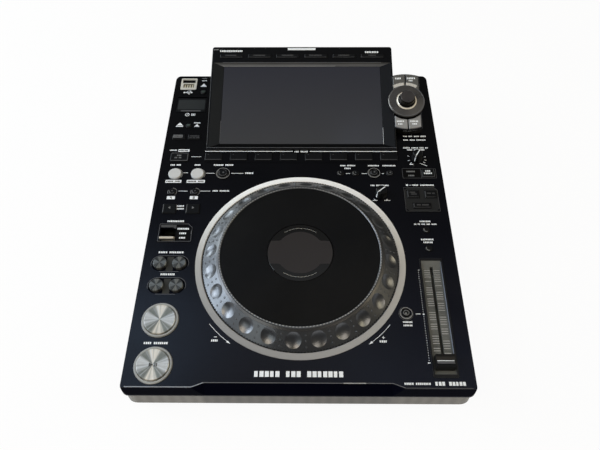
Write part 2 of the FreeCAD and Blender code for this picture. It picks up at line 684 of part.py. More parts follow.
def make_slider():
    """Tempo slider: bezel with a ribbed channel, a slit, and a cap on a carriage inside."""
    centre = (TEMPO_U, SLIDER_V)
    body = (SLIDER_OPENING[0] + 2 * SLIDER_SIDE, SLIDER_OPENING[1] + 4 * SLIDER_SIDE)
    hole = (body[0] + 2 * FIXED_GAP, body[1] + 2 * FIXED_GAP)
    bezel = rounded_block(centre, SLIDER_SIZE, 0, SLIDER_RIM, STRIP_CORNER)
    track = bezel.fuse(centred_block(centre, body, -SLIDER_DEPTH, 0))
    front = SLIDER_V - SLIDER_OPENING[1] / 2
    rear = SLIDER_V + SLIDER_OPENING[1] / 2
    channel = [(front, HIGH), (front, 0), (front + SLIDER_RAMP / 2, SLIDER_FLOOR),
               (rear - SLIDER_RAMP, SLIDER_FLOOR), (rear, 0), (rear, HIGH)]
    u0 = TEMPO_U - SLIDER_OPENING[0] / 2
    u1 = TEMPO_U + SLIDER_OPENING[0] / 2
    track = track.cut(side_prism(channel, u0, u1))

    rest_v = SLIDER_V - TEMPO_TRAVEL / 2
    end_v = SLIDER_V + TEMPO_TRAVEL / 2
    slit_room = CARRIAGE[1] / 2 + REST_GAP
    neck_reach = NECK_LENGTH / 2 + REST_GAP
    slit = block(TEMPO_U - SLIDER_SLIT / 2, TEMPO_U + SLIDER_SLIT / 2,
                 rest_v - neck_reach, end_v + neck_reach, CARRIAGE_BOTTOM, HIGH)
    rail_half = CARRIAGE[0] / 2 + REST_GAP
    rail = block(TEMPO_U - rail_half, TEMPO_U + rail_half, rest_v - slit_room, end_v + slit_room,
                 CARRIAGE_BOTTOM - REST_GAP, CARRIAGE_BOTTOM + CARRIAGE[2] + REST_GAP)
    ribs = []
    rib_half = CAP_SIZE[0] / 2 - SLIDER_SIDE
    count = int(TEMPO_TRAVEL / SLIDER_RIB_PITCH) + 1
    for index in range(count):
        v = rest_v + index * SLIDER_RIB_PITCH
        ribs.append(centred_block((TEMPO_U, v), (2 * rib_half, SLIDER_RIB_WIDTH), SLIDER_FLOOR,
                                  SLIDER_FLOOR + SLIDER_RIB_HEIGHT))
    nodes["slider_track"] = track.fuse(ribs).cut([slit, rail])
    panel_cuts.append(centred_block(centre, hole, LOW, HIGH))

    length = CAP_SIZE[1]
    saddle = [(rest_v - length / 2, CAP_FOOT), (rest_v + length / 2, CAP_FOOT),
              (rest_v + length / 2 - CAP_TAPER, CAP_TOP), (rest_v + length / 4, CAP_TOP - CAP_DIP / 2),
              (rest_v, CAP_TOP - CAP_DIP), (rest_v - length / 4, CAP_TOP - CAP_DIP / 2),
              (rest_v - length / 2 + CAP_TAPER, CAP_TOP)]
    cap = side_prism(saddle, TEMPO_U - CAP_SIZE[0] / 2, TEMPO_U + CAP_SIZE[0] / 2)
    neck_half = SLIDER_SLIT / 2 - REST_GAP
    neck = centred_block((TEMPO_U, rest_v), (2 * neck_half, NECK_LENGTH), CARRIAGE_BOTTOM, CAP_FOOT)
    carriage = centred_block((TEMPO_U, rest_v), CARRIAGE[:2], CARRIAGE_BOTTOM, CARRIAGE_BOTTOM + CARRIAGE[2])
    nodes["tempo_cap"] = joined([cap, neck, carriage])


# ================================================================ media sockets
def make_media_sockets():
    hinge_v = DOOR_FRONT_V + DOOR_SIZE[1]
    hinge_w = -PANEL_SKIN / 2
    half = DOOR_SIZE[0] / 2
    door_centre = (DOOR_U, DOOR_FRONT_V + DOOR_SIZE[1] / 2)
    plate = centred_block(door_centre, DOOR_SIZE, -DOOR_THICKNESS, 0)
    lip = block(DOOR_U - half, DOOR_U + half, DOOR_FRONT_V, DOOR_FRONT_V + DOOR_LIP, 0, DOOR_LIP_HEIGHT)
    along = Vec(1, 0, 0)
    barrel = Part.makeCylinder(DOOR_BARREL_RADIUS, 2 * half, Vec(DOOR_U - half, hinge_v, hinge_w), along)
    pin_half = half + DOOR_PIN_LENGTH
    pin = Part.makeCylinder(DOOR_PIN_RADIUS, 2 * pin_half, Vec(DOOR_U - pin_half, hinge_v, hinge_w), along)
    nodes["card_door"] = joined([plate, lip, barrel, pin])

    panel_cuts.append(block(DOOR_U - half - REST_GAP, DOOR_U + half + REST_GAP, DOOR_FRONT_V - REST_GAP,
                            hinge_v + DOOR_SWING_ROOM, LOW, HIGH))
    bore_half = pin_half + REST_GAP
    panel_cuts.append(Part.makeCylinder(DOOR_PIN_RADIUS + RUNNING_GAP, 2 * bore_half,
                                        Vec(DOOR_U - bore_half, hinge_v, hinge_w), along))

    pocket_centre = (DOOR_U, door_centre[1])
    outer = (CARD_POCKET[0] + 4 * SOCKET_MARGIN, DOOR_SIZE[1] + DOOR_SWING_ROOM + 2 * SOCKET_MARGIN)
    outer_centre = (DOOR_U, DOOR_FRONT_V - SOCKET_MARGIN + outer[1] / 2)
    card_block = centred_block(outer_centre, outer, -SOCKET_BLOCK_DEPTH, -PANEL_SKIN)
    pocket_floor = -PANEL_SKIN - CARD_POCKET[2]
    pocket = centred_block(pocket_centre, CARD_POCKET[:2], pocket_floor, 0)
    slot_centre = (DOOR_U, pocket_centre[1] + CARD_POCKET[1] / 4)
    slot = centred_block(slot_centre, CARD_SLOT[:2], pocket_floor - CARD_SLOT[2], 0)
    barrel_room = block(DOOR_U - half - REST_GAP, DOOR_U + half + REST_GAP, hinge_v - 2 * DOOR_BARREL_RADIUS,
                        hinge_v + DOOR_SWING_ROOM, -PANEL_SKIN - REST_GAP, 0)
    card_block = card_block.cut([pocket, slot, barrel_room])

    usb_centre = (USB_U, USB_V)
    wide = (USB_SIZE[0] + SOCKET_MARGIN, USB_SIZE[1] + SOCKET_MARGIN)
    usb_block = centred_block(usb_centre, wide, -USB_BLOCK_DEPTH, -PANEL_SKIN)
    usb_frame = rounded_block(usb_centre, USB_SIZE, -PANEL_SKIN, USB_STAND_OUT, STRIP_CORNER)
    bridge_u = (DOOR_U - outer[0] / 2, USB_U)
    bridge = block(bridge_u[0], bridge_u[1], outer_centre[1], USB_V,
                   -SOCKET_BLOCK_DEPTH, -PANEL_SKIN - SOCKET_MARGIN)
    bridge = bridge.cut(pocket.fuse(slot))
    slot_centre = (USB_U, USB_V + USB_SLOT_OFFSET)
    usb_slot = centred_block(slot_centre, USB_SLOT[:2], USB_STAND_OUT - USB_SLOT[2], HIGH)
    contact_centre = (USB_U, USB_V + USB_CONTACT_OFFSET)
    contacts = centred_block(contact_centre, USB_CONTACT_SIZE, USB_STAND_OUT - USB_CONTACT_DEPTH, HIGH)
    body = joined([card_block, bridge, usb_block, usb_frame])
    nodes["media_sockets"] = body.cut([usb_slot, contacts, pocket, slot, barrel_room])
    usb_hole = (USB_SIZE[0] + 2 * FIXED_GAP, USB_SIZE[1] + 2 * FIXED_GAP)
    panel_cuts.append(rounded_block(usb_centre, usb_hole, LOW, HIGH, STRIP_CORNER + FIXED_GAP))


# ================================================================ jog wheel
def make_jog():
    centre = (JOG_U, JOG_V)
    trim_inner = HOLE_RADIUS - TRIM_COLLAR
    trim = [
        (trim_inner, -PANEL_SKIN), (HOLE_RADIUS - FIXED_GAP, -PANEL_SKIN), (HOLE_RADIUS - FIXED_GAP, 0),
        (TRIM_RADIUS, 0), (TRIM_RADIUS, TRIM_HEIGHT / 2), (HOLE_RADIUS, TRIM_HEIGHT),
        (trim_inner + EDGE_BEVEL, TRIM_HEIGHT), (trim_inner, TRIM_HEIGHT - EDGE_BEVEL),
    ]
    nodes["jog_trim_ring"] = turned(trim, centre)
    panel_cuts.append(disc(centre, HOLE_RADIUS, LOW, HIGH))

    run = JOG_RADIUS - CONE_TOP_RADIUS
    rise = CONE_TOP - JOG_SHOULDER
    slant = math.hypot(run, rise)
    inner_foot = JOG_RADIUS - JOG_WALL
    offset_radius = JOG_RADIUS - JOG_WALL * rise / slant
    offset_height = JOG_SHOULDER - JOG_WALL * run / slant
    slope = rise / run
    shelf_top = PLATTER_TOP - PLATTER_THICKNESS
    shelf_bottom = shelf_top - SHELF_THICKNESS
    shelf_meets = offset_radius - (shelf_bottom - offset_height) / slope
    seat_radius = PLATTER_RADIUS + REST_GAP
    ring_profile = [
        (JOG_RADIUS, -JOG_SKIRT), (JOG_RADIUS, JOG_SHOULDER), (CONE_TOP_RADIUS, CONE_TOP),
        (CONE_TOP_RADIUS - FINE_BEVEL, CROWN_TOP), (seat_radius + FINE_BEVEL, CROWN_TOP),
        (seat_radius, CROWN_TOP - FINE_BEVEL),
        (seat_radius, shelf_top), (SHELF_RADIUS, shelf_top), (SHELF_RADIUS, shelf_bottom),
        (shelf_meets, shelf_bottom), (inner_foot, offset_height + (offset_radius - inner_foot) * slope),
        (inner_foot, -JOG_SKIRT),
    ]
    ring = turned(ring_profile)
    ball_radius = ((DIMPLE_DIAMETER / 2) ** 2 + DIMPLE_DEPTH ** 2) / (2 * DIMPLE_DEPTH)
    lift = ball_radius - DIMPLE_DEPTH
    middle_radius = (JOG_RADIUS + CONE_TOP_RADIUS) / 2 + lift * rise / slant
    middle_height = (JOG_SHOULDER + CONE_TOP) / 2 + lift * run / slant
    balls = []
    for index in range(DIMPLE_COUNT):
        angle = math.radians(DIMPLE_PHASE + index * 360 / DIMPLE_COUNT)
        place = Vec(middle_radius * math.cos(angle), middle_radius * math.sin(angle), middle_height)
        balls.append(Part.makeSphere(ball_radius, place))
    ring = ring.cut(balls)
    ring.translate(Vec(JOG_U, JOG_V, 0))
    nodes["jog_ring"] = ring

    bore = POST_RADIUS + RUNNING_GAP
    display_bottom = PLATTER_TOP - DISPLAY_THICKNESS
    well_radius = DISPLAY_RADIUS + DISPLAY_GAP
    well_floor = display_bottom - 2 * REST_GAP
    hub_outer = bore + HUB_WALL
    platter = [
        (well_radius, PLATTER_TOP), (PLATTER_RADIUS, PLATTER_TOP), (PLATTER_RADIUS, shelf_top),
        (hub_outer + HUB_WALL, shelf_top), (hub_outer, shelf_bottom),
        (hub_outer, HUB_BOTTOM), (bore, HUB_BOTTOM),
        (bore, well_floor), (well_radius, well_floor),
    ]
    nodes["jog_platter"] = turned(platter, centre)

    window = disc(centre, DISPLAY_RADIUS, display_bottom, PLATTER_TOP)
    nodes["jog_display"] = bevel_top(window, FINE_BEVEL, PLATTER_TOP)

    shoulder = HUB_BOTTOM - REST_GAP
    tube = [
        (POST_RADIUS - POST_WALL, LOW), (POST_RADIUS, LOW), (POST_RADIUS, shoulder - SHOULDER_DEPTH),
        (POST_RADIUS + SHOULDER_WIDTH, shoulder - SHOULDER_DEPTH), (POST_RADIUS + SHOULDER_WIDTH, shoulder),
        (POST_RADIUS, shoulder), (POST_RADIUS, display_bottom), (POST_RADIUS - POST_WALL, display_bottom),
    ]
    post = on_panel(turned(tube, centre))
    below = block(-HALF_WIDTH, HALF_WIDTH, FRONT_Y, -FRONT_Y, LOW, FLOOR_Z)
    post = post.cut(below)
    axis_foot = row_point(JOG_V, 0)
    foot_y = axis_foot[0] + (axis_foot[1] - FLOOR_Z) * math.tan(SLOPE)
    foot = (JOG_U, foot_y)
    flange_top = FLOOR_Z + POST_FLANGE_THICKNESS
    flange = disc(foot, POST_FLANGE_RADIUS, FLOOR_Z, flange_top)
    flange = flange.cut(disc(foot, POST_RADIUS - POST_WALL / 2, FLOOR_Z, flange_top))
    return joined([post, flange])


# ================================================================ screen housing
def island_outline(inset, height):
    """The browse island's plan, with bowed front and rear ends."""
    left = ISLAND_LEFT + inset
    right = ISLAND_RIGHT - inset
    front = ISLAND_FRONT + inset
    rear = ISLAND_REAR - inset
    middle = (left + right) / 2
    corners = [Vec(left, front, height), Vec(right, front, height),
               Vec(right, rear, height), Vec(left, rear, height)]
    edges = [
        Part.Arc(corners[0], Vec(middle, front - ISLAND_BULGE, height), corners[1]).toShape(),
        Part.LineSegment(corners[1], corners[2]).toShape(),
        Part.Arc(corners[2], Vec(middle, rear + ISLAND_BULGE, height), corners[3]).toShape(),
        Part.LineSegment(corners[3], corners[0]).toShape(),
    ]
    return Part.Face(Part.Wire(edges))


def screen_back():
    """The housing's rear outline, from its top edge down to the rear face, as (y, z)."""
    top_y, top_z = screen_point(SCREEN_LENGTH, 0)
    bevel_z = top_z - HOUSING_BACK_DROP
    return [(top_y, top_z), (REAR_Y - HOUSING_BACK_INSET, bevel_z), (REAR_Y, bevel_z - HOUSING_BACK_INSET),
            (REAR_Y, REAR_TOP_HEIGHT)]


def make_screen():
    left = SCREEN_U - SCREEN_WIDTH / 2
    right = SCREEN_U + SCREEN_WIDTH / 2
    wedge_profile = [row_point(SCREEN_V, 0), row_point(SCREEN_V, SCREEN_STEP)]
    wedge_profile += screen_back()
    wedge_profile.append(row_point(PANEL_LENGTH, 0))
    housing = side_prism(wedge_profile, left, right)
    top_y, top_z = screen_point(SCREEN_LENGTH, 0)
    bevel_ends = []
    for edge in housing.Edges:
        box = edge.BoundBox
        if box.XLength < TINY and abs(box.YMin - top_y) < TINY and abs(box.ZMax - top_z) < TINY:
            bevel_ends.append(edge)
    housing = housing.makeFillet(HOUSING_CORNER, bevel_ends)
    top_edges = []
    for edge in housing.Edges:
        if abs(edge.BoundBox.ZMin - top_z) < TINY and edge.Length > SCREEN_WIDTH / 2:
            top_edges.append(edge)
    housing = housing.makeFillet(EDGE_ROUND, top_edges)

    inner_top = screen_point(SCREEN_LENGTH - HOUSING_WALL - OVER, -HOUSING_SKIN)
    inner_back = REAR_Y - HOUSING_WALL
    inside = [row_point(SCREEN_V + HOUSING_WALL, -OVER), inner_top,
              (inner_back - HOUSING_BACK_INSET, top_z - HOUSING_BACK_DROP - OVER),
              (inner_back, top_z - HOUSING_BACK_DROP - HOUSING_BACK_INSET - OVER),
              (inner_back, REAR_TOP_HEIGHT - OVER), row_point(PANEL_LENGTH - OVER, -2 * OVER)]
    cavity = side_prism(inside, left + HOUSING_WALL, right - HOUSING_WALL)

    glass_end = GLASS_START + GLASS_LENGTH
    depth = GLASS_DEPTH
    over = OVER / depth           # carries the bevel above the surface
    half_outer = SCREEN_WIDTH / 2 - SCREEN_RIM
    half_inner = GLASS_WIDTH / 2

    def bevel_wire(fraction, height):
        """Rectangle between the glass (fraction 0) and the bezel's outer line (fraction 1)."""
        half = half_inner + (half_outer - half_inner) * fraction
        s0 = GLASS_START + (BEZEL_START - GLASS_START) * fraction
        s1 = glass_end + (BEZEL_END - glass_end) * fraction
        points = [Vec(SCREEN_U - half, s0, height), Vec(SCREEN_U + half, s0, height),
                  Vec(SCREEN_U + half, s1, height), Vec(SCREEN_U - half, s1, height)]
        return Part.makePolygon(points + [points[0]])

    funnel = Part.makeLoft([bevel_wire(0.0, -depth), bevel_wire(1.0 + over, OVER)], True, True)
    window = block(SCREEN_U - half_inner, SCREEN_U + half_inner, GLASS_START, glass_end, LOW, -depth)
    glass_size = (GLASS_WIDTH + 2 * GLASS_LIP, GLASS_LENGTH + 2 * GLASS_LIP)
    glass_centre = (SCREEN_U, GLASS_START + GLASS_LENGTH / 2)
    rebate_size = (glass_size[0] + 2 * FIXED_GAP, glass_size[1] + 2 * FIXED_GAP)
    rebate = centred_block(glass_centre, rebate_size, LOW, -depth)
    glass = centred_block(glass_centre, glass_size, -depth - GLASS_THICKNESS, -depth)
    module_size = (GLASS_WIDTH - 2 * GLASS_LIP, GLASS_LENGTH - 2 * GLASS_LIP)
    module_bottom = -depth - GLASS_THICKNESS - MODULE_THICKNESS
    module = centred_block(glass_centre, module_size, module_bottom, -depth - GLASS_THICKNESS)
    nodes["touch_screen"] = on_screen(joined([glass, module]))

    keys = []
    slots = []
    first = SCREEN_U - MENU_KEY_PITCH * (MENU_KEY_COUNT - 1) / 2
    for index in range(MENU_KEY_COUNT):
        centre = (first + index * MENU_KEY_PITCH, MENU_KEY_S)
        keys.append(flanged_key(centre, MENU_KEY_SIZE, MENU_KEY_TOP, -HOUSING_SKIN))
        hole = (MENU_KEY_SIZE[0] + 2 * BUTTON_GAP, MENU_KEY_SIZE[1] + 2 * BUTTON_GAP)
        slots.append(rounded_block(centre, hole, -HOUSING_SKIN - OVER, HIGH, KEY_CORNER + BUTTON_GAP))
    nodes["menu_keys"] = on_screen(Part.makeCompound(keys))

    island_form = island_outline(0.0, LOW).extrude(Vec(0, 0, HIGH - LOW))
    cuts = [cavity] + [on_screen(c) for c in [funnel, window, rebate, island_form] + slots]
    housing = housing.cut(cuts)
    solids = sorted(housing.Solids, key=lambda s: s.Volume)
    nodes["screen_housing"] = solids[-1]
    window_half = half_inner + GLASS_LIP + SCREEN_ROOM
    window_front = SCREEN_V + HOUSING_WALL + SCREEN_ROOM
    panel_cuts.append(block(SCREEN_U - window_half, SCREEN_U + window_half, window_front,
                            PANEL_LENGTH - HOUSING_SEAT, LOW, STRIP_HEIGHT))


def make_browse():
    """The browse island, its four keys and the rotary selector that can be pressed."""
    block_top = island_outline(0.0, LOW).extrude(Vec(0, 0, -LOW))
    island = on_screen(bevel_top(block_top, EDGE_BEVEL, 0.0))
    hollow = on_screen(island_outline(ISLAND_WALL, LOW).extrude(Vec(0, 0, -LOW - ISLAND_SKIN)))

    centre = (SELECTOR_U, SELECTOR_S)
    arc_radius = SELECTOR_FLANGE_RADIUS + BROWSE_ARC_GAP
    under = -ISLAND_SKIN - REST_GAP
    board_top = under - BROWSE_BOARD_DROP
    holes = []
    keys = {}
    browse_switches = []
    middle = (ISLAND_LEFT + ISLAND_RIGHT) / 2
    sides = {"left": (LOW, middle - BROWSE_KEY_GAP / 2), "right": (middle + BROWSE_KEY_GAP / 2, 4 * HIGH)}
    ends = {"front": (LOW, SELECTOR_S - BROWSE_KEY_TOP), "rear": (SELECTOR_S + BROWSE_KEY_TOP, 4 * HIGH)}
    for end, (s0, s1) in ends.items():
        for side, (u0, u1) in sides.items():
            def form(grow, bottom, top):
                plan = island_outline(BROWSE_KEY_INSET - grow, bottom).extrude(Vec(0, 0, top - bottom))
                quarter = block(u0 - grow, u1 + grow, s0, s1, bottom, top)
                return plan.common(quarter).cut(disc(centre, arc_radius - grow, bottom, top))
            cap = bevel_top(form(0.0, under, BROWSE_KEY_TOP), EDGE_BEVEL, BROWSE_KEY_TOP)
            inner = island_outline(ISLAND_WALL + REST_GAP, under - FLANGE_THICKNESS)
            flange = inner.extrude(Vec(0, 0, FLANGE_THICKNESS)).common(block(u0, u1, s0, s1, LOW, under))
            flange = flange.cut(disc(centre, arc_radius - FLANGE_WIDTH, LOW, under))
            reach = flange.BoundBox
            stem_s = reach.YMin + BROWSE_STEM_INSET if end == "front" else reach.YMax - BROWSE_STEM_INSET
            stem_u = (reach.XMin + reach.XMax) / 2
            stem_foot = board_top + SWITCH_HEIGHT + BROWSE_TRAVEL + REST_GAP
            stem = disc((stem_u, stem_s), STEM_RADIUS, stem_foot, under)
            keys["browse_key_%s_%s" % (end, side)] = joined([cap, flange, stem])
            browse_switches.append(centred_block((stem_u, stem_s), (SWITCH_SIZE, SWITCH_SIZE), board_top,
                                                 board_top + SWITCH_HEIGHT))
            holes.append(form(BUTTON_GAP, under - OVER, HIGH))
    for name, shape in keys.items():
        nodes[name] = on_screen(shape)

    shaft_end = SELECTOR_TOP - KNOB_CROWN
    shaft_foot = board_top + SELECTOR_PUSH + REST_GAP
    nodes["selector_shaft"] = on_screen(disc(centre, SELECTOR_SHAFT_RADIUS, shaft_foot, shaft_end))
    bore = SELECTOR_SHAFT_RADIUS + RUNNING_GAP
    rim = SELECTOR_FLANGE_TOP - FINE_BEVEL
    profile = [
        (0, SELECTOR_TOP), (SELECTOR_RADIUS - EDGE_BEVEL, SELECTOR_TOP),
        (SELECTOR_RADIUS, SELECTOR_TOP - EDGE_BEVEL),
        (SELECTOR_RADIUS + FINE_BEVEL, SELECTOR_FLANGE_TOP + SELECTOR_FLARE),
        (SELECTOR_RADIUS + SELECTOR_FLARE, SELECTOR_FLANGE_TOP),
        (SELECTOR_FLANGE_RADIUS - EDGE_BEVEL, rim), (SELECTOR_FLANGE_RADIUS, rim - EDGE_BEVEL),
        (SELECTOR_FLANGE_RADIUS, SELECTOR_FLANGE_TOP / 2),
        (SELECTOR_FLANGE_RADIUS - SELECTOR_FLARE, SELECTOR_LIFT),
        (bore, SELECTOR_LIFT), (bore, shaft_end + REST_GAP), (0, shaft_end + REST_GAP),
    ]
    nodes["selector_knob"] = on_screen(turned(profile, centre))

    bush_radius = SELECTOR_SHAFT_RADIUS + BUSH_WALL
    bush = disc(centre, bush_radius, board_top, EDGE_BEVEL).cut(disc(centre, bore, board_top, EDGE_BEVEL))
    board = centred_block((middle, SELECTOR_S), BROWSE_BOARD, board_top - BOARD_THICKNESS, board_top)
    browse_board = on_screen(joined([bush, board] + browse_switches))
    holes.append(disc(centre, bush_radius + FIXED_GAP, LOW, HIGH))
    posts = []
    for s in (SELECTOR_S - BROWSE_POST_SPREAD, SELECTOR_S + BROWSE_POST_SPREAD):
        posts.append(on_screen(disc((middle, s), STANDOFF_RADIUS, board_top, -ISLAND_SKIN)))
    return island, hollow, [on_screen(h) for h in holes], posts, browse_board


# ================================================================ casing
def underside(y):
    """Height of the panel's underside at y."""
    return FRONT_EDGE_HEIGHT + (y - PANEL_Y) * math.tan(SLOPE) - PANEL_SKIN / math.cos(SLOPE)


def plan_prism(front_radius, bottom, top):
    radii = (front_radius, front_radius, REAR_CORNER, REAR_CORNER)
    wire = rounded_wire(-HALF_WIDTH, HALF_WIDTH, FRONT_Y, REAR_Y, radii, bottom)
    return Part.Face(wire).extrude(Vec(0, 0, top - bottom))


def rear_window(bottom, top):
    """Opening for the rear panel in the rear walls of case and pan."""
    return block(-REAR_PLATE_HALF, REAR_PLATE_HALF, REAR_Y - 2 * WALL, REAR_Y + OVER, bottom, top)


def make_top_case(island, island_hollow, island_holes, island_posts):
    rear_edge = row_point(PANEL_LENGTH, 0)
    profile = [(FRONT_Y, SPLIT_Z), (FRONT_Y, FRONT_EDGE_HEIGHT - LIP_DROP),
               (PANEL_Y, FRONT_EDGE_HEIGHT), rear_edge,
               (REAR_Y, REAR_TOP_HEIGHT), (REAR_Y, SPLIT_Z)]
    form = side_prism(profile, -HALF_WIDTH, HALF_WIDTH)
    bevel_ends = []
    for edge in form.Edges:
        box = edge.BoundBox
        if box.XLength < TINY and abs(box.YMin - rear_edge[0]) < TINY and abs(box.YMax - REAR_Y) < TINY:
            bevel_ends.append(edge)
    form = form.makeFillet(REAR_CORNER, bevel_ends)
    form = form.common(plan_prism(CASE_CORNER, 0, 3 * HIGH))

    slide = Vec(0, -(NOTCH_DEPTH + LIP_REACH), -LIP_DROP)
    run_half = NOTCH_HALF_WIDTH + NOTCH_RUN
    plan = [(-run_half, LOW), (-run_half, 0.0),
            (-NOTCH_HALF_WIDTH, NOTCH_DEPTH), (NOTCH_HALF_WIDTH, NOTCH_DEPTH),
            (run_half, 0.0), (run_half, LOW)]
    face = polygon_face([Vec(x, PANEL_Y + y, FRONT_EDGE_HEIGHT) for x, y in plan])
    face.translate(slide * -NOTCH_LEAD)
    form = form.cut(face.extrude(slide * (1 + NOTCH_LEAD)))

    rear_in = rear_edge[0] - WALL
    inner_front = FRONT_Y + FRONT_WALL
    inside = [(inner_front, SPLIT_Z - OVER), (inner_front, underside(inner_front)),
              (rear_in, underside(rear_in)),
              (REAR_Y - WALL, REAR_PLATE_TOP), (REAR_Y - WALL, SPLIT_Z - OVER)]
    cavity = side_prism(inside, -HALF_WIDTH + WALL, HALF_WIDTH - WALL)
    case = form.cut([cavity, rear_window(SPLIT_Z - OVER, REAR_PLATE_TOP)])

    bosses = []
    for v in CASE_BOSS_VS:
        for x in (-CASE_BOSS_U, CASE_BOSS_U):
            y, z = row_point(v, -PANEL_SKIN / 2)
            bosses.append(disc((x, y), CASE_BOSS_RADIUS, FLOOR_Z + LEDGE_HEIGHT, z))
    standoffs = [on_panel(disc(c, STANDOFF_RADIUS, BOARD_TOP, -PANEL_SKIN)) for c in STANDOFFS]
    above = on_panel(block(-HALF_WIDTH, HALF_WIDTH, 0, PANEL_LENGTH, -PANEL_SKIN, 2 * HIGH))
    case = case.fuse(bosses + standoffs + [on_panel(a) for a in panel_adds] + [island.common(above)])
    case = case.cut([island_hollow] + island_holes + [on_panel(c) for c in panel_cuts])
    case = case.fuse(island_posts).removeSplitter()
    nodes["top_case"] = sorted(case.Solids, key=lambda s: s.Volume)[-1]


def make_base():
    band_z = FRONT_EDGE_HEIGHT - BAND_DROP
    profile = [(FRONT_Y, SPLIT_Z), (FRONT_Y, band_z), (FRONT_Y + PAN_UNDERCUT, FOOT_HEIGHT),
               (REAR_Y - PAN_SIDE_UNDERCUT, FOOT_HEIGHT), (REAR_Y, FOOT_HEIGHT + PAN_SIDE_UNDERCUT / 2),
               (REAR_Y, SPLIT_Z)]
    form = side_prism(profile, -HALF_WIDTH, HALF_WIDTH).common(plan_prism(PAN_CORNER, 0, SPLIT_Z))
    side = [(-HALF_WIDTH, SPLIT_Z), (-HALF_WIDTH, band_z), (-HALF_WIDTH + PAN_SIDE_UNDERCUT, FOOT_HEIGHT),
            (HALF_WIDTH - PAN_SIDE_UNDERCUT, FOOT_HEIGHT), (HALF_WIDTH, band_z), (HALF_WIDTH, SPLIT_Z)]
    across = polygon_face([Vec(x, FRONT_Y, z) for x, z in side]).extrude(Vec(0, BODY_DEPTH, 0))
    form = form.common(across)

    inner_front = FRONT_Y + FRONT_WALL
    slope_front = FRONT_Y + PAN_UNDERCUT + PAN_WALL
    inside = [(inner_front, SPLIT_Z + OVER), (inner_front, band_z + OVER), (slope_front, FLOOR_Z),
              (REAR_Y - PAN_SIDE_UNDERCUT - PAN_WALL, FLOOR_Z),
              (REAR_Y - PAN_WALL, FOOT_HEIGHT + PAN_SIDE_UNDERCUT),
              (REAR_Y - PAN_WALL, SPLIT_Z + OVER)]
    inner_half = HALF_WIDTH - PAN_WALL
    cavity = side_prism(inside, -inner_half, inner_half)
    slope_half = inner_half - PAN_SIDE_UNDERCUT
    wide = [(-inner_half, SPLIT_Z + OVER), (-inner_half, band_z + OVER), (-slope_half, FLOOR_Z),
            (slope_half, FLOOR_Z), (inner_half, band_z + OVER), (inner_half, SPLIT_Z + OVER)]
    cavity = cavity.common(polygon_face([Vec(x, FRONT_Y, z) for x, z in wide]).extrude(Vec(0, BODY_DEPTH, 0)))
    pan = form.cut([cavity, rear_window(REAR_PLATE_BOTTOM, SPLIT_Z + OVER)])
    bosses = []
    for x0, x1, y0, y1 in (MAIN_BOARD, POWER_BOARD):
        for x in (x0 + PAN_BOSS_INSET, x1 - PAN_BOSS_INSET):
            for y in (y0 + PAN_BOSS_INSET, y1 - PAN_BOSS_INSET):
                bosses.append(disc((x, y), PAN_BOSS_RADIUS, FLOOR_Z - OVER, FLOOR_Z + PAN_BOSS_HEIGHT))
    for v in CASE_BOSS_VS:
        for x in (-CASE_BOSS_U, CASE_BOSS_U):
            y = row_point(v, -PANEL_SKIN / 2)[0]
            ledge = disc((x, y), LEDGE_RADIUS, FOOT_HEIGHT, FLOOR_Z + LEDGE_HEIGHT)
            bosses.append(ledge.common(form))
    nodes["base_pan"] = pan.fuse(bosses).removeSplitter()

    feet = []
    for x in (-FOOT_U, FOOT_U):
        for y in (FOOT_FRONT_Y, FOOT_REAR_Y):
            feet.append(Part.makeCone(FOOT_RADIUS - FOOT_TAPER, FOOT_RADIUS, FOOT_HEIGHT, Vec(x, y, 0)))
    nodes["feet"] = Part.makeCompound(feet)


def make_boards(browse_board):
    low = BOARD_TOP - BOARD_THICKNESS
    sheet = block(-BOARD_HALF_WIDTH, BOARD_HALF_WIDTH, BOARD_FRONT, BOARD_MIDDLE, low, BOARD_TOP)
    rear = block(BOARD_NOTCH_U, BOARD_REAR_U, BOARD_MIDDLE, BOARD_REAR, low, BOARD_TOP)
    sheet = sheet.fuse(rear)
    sheet = sheet.cut(disc((JOG_U, JOG_V), BOARD_HOLE, low, BOARD_TOP)).removeSplitter()
    parts = [sheet] + [s for s in switches if s.BoundBox.YMax < BOARD_MIDDLE]
    nodes["control_board"] = Part.makeCompound([on_panel(joined(parts)), browse_board])

    board_bottom = FLOOR_Z + PAN_BOSS_HEIGHT
    board_top = board_bottom + BOARD_THICKNESS
    for name, (x0, x1, y0, y1), parts in (("main_board", MAIN_BOARD, MAIN_CHIPS),
                                          ("power_supply", POWER_BOARD, POWER_PARTS)):
        pieces = [block(x0, x1, y0, y1, board_bottom, board_top)]
        for x, y, size, height in parts:
            pieces.append(centred_block((x, y), (size, size), board_top, board_top + height))
        nodes[name] = joined(pieces)


# ================================================================ rear
def rear_block(x, size, reach):
    """Box across the rear face: size is (width, height, depth inwards), reach is outwards."""
    width, height, depth = size
    return block(x - width / 2, x + width / 2, REAR_Y - depth, REAR_Y + reach, SOCKET_Z - height / 2,
                 SOCKET_Z + height / 2)


def rear_hole(x, size):
    """Hole in the rear panel for a block of that size."""
    return rear_block(x, (size[0] + 2 * FIXED_GAP, size[1] + 2 * FIXED_GAP, REAR_PLATE + OVER), OVER)


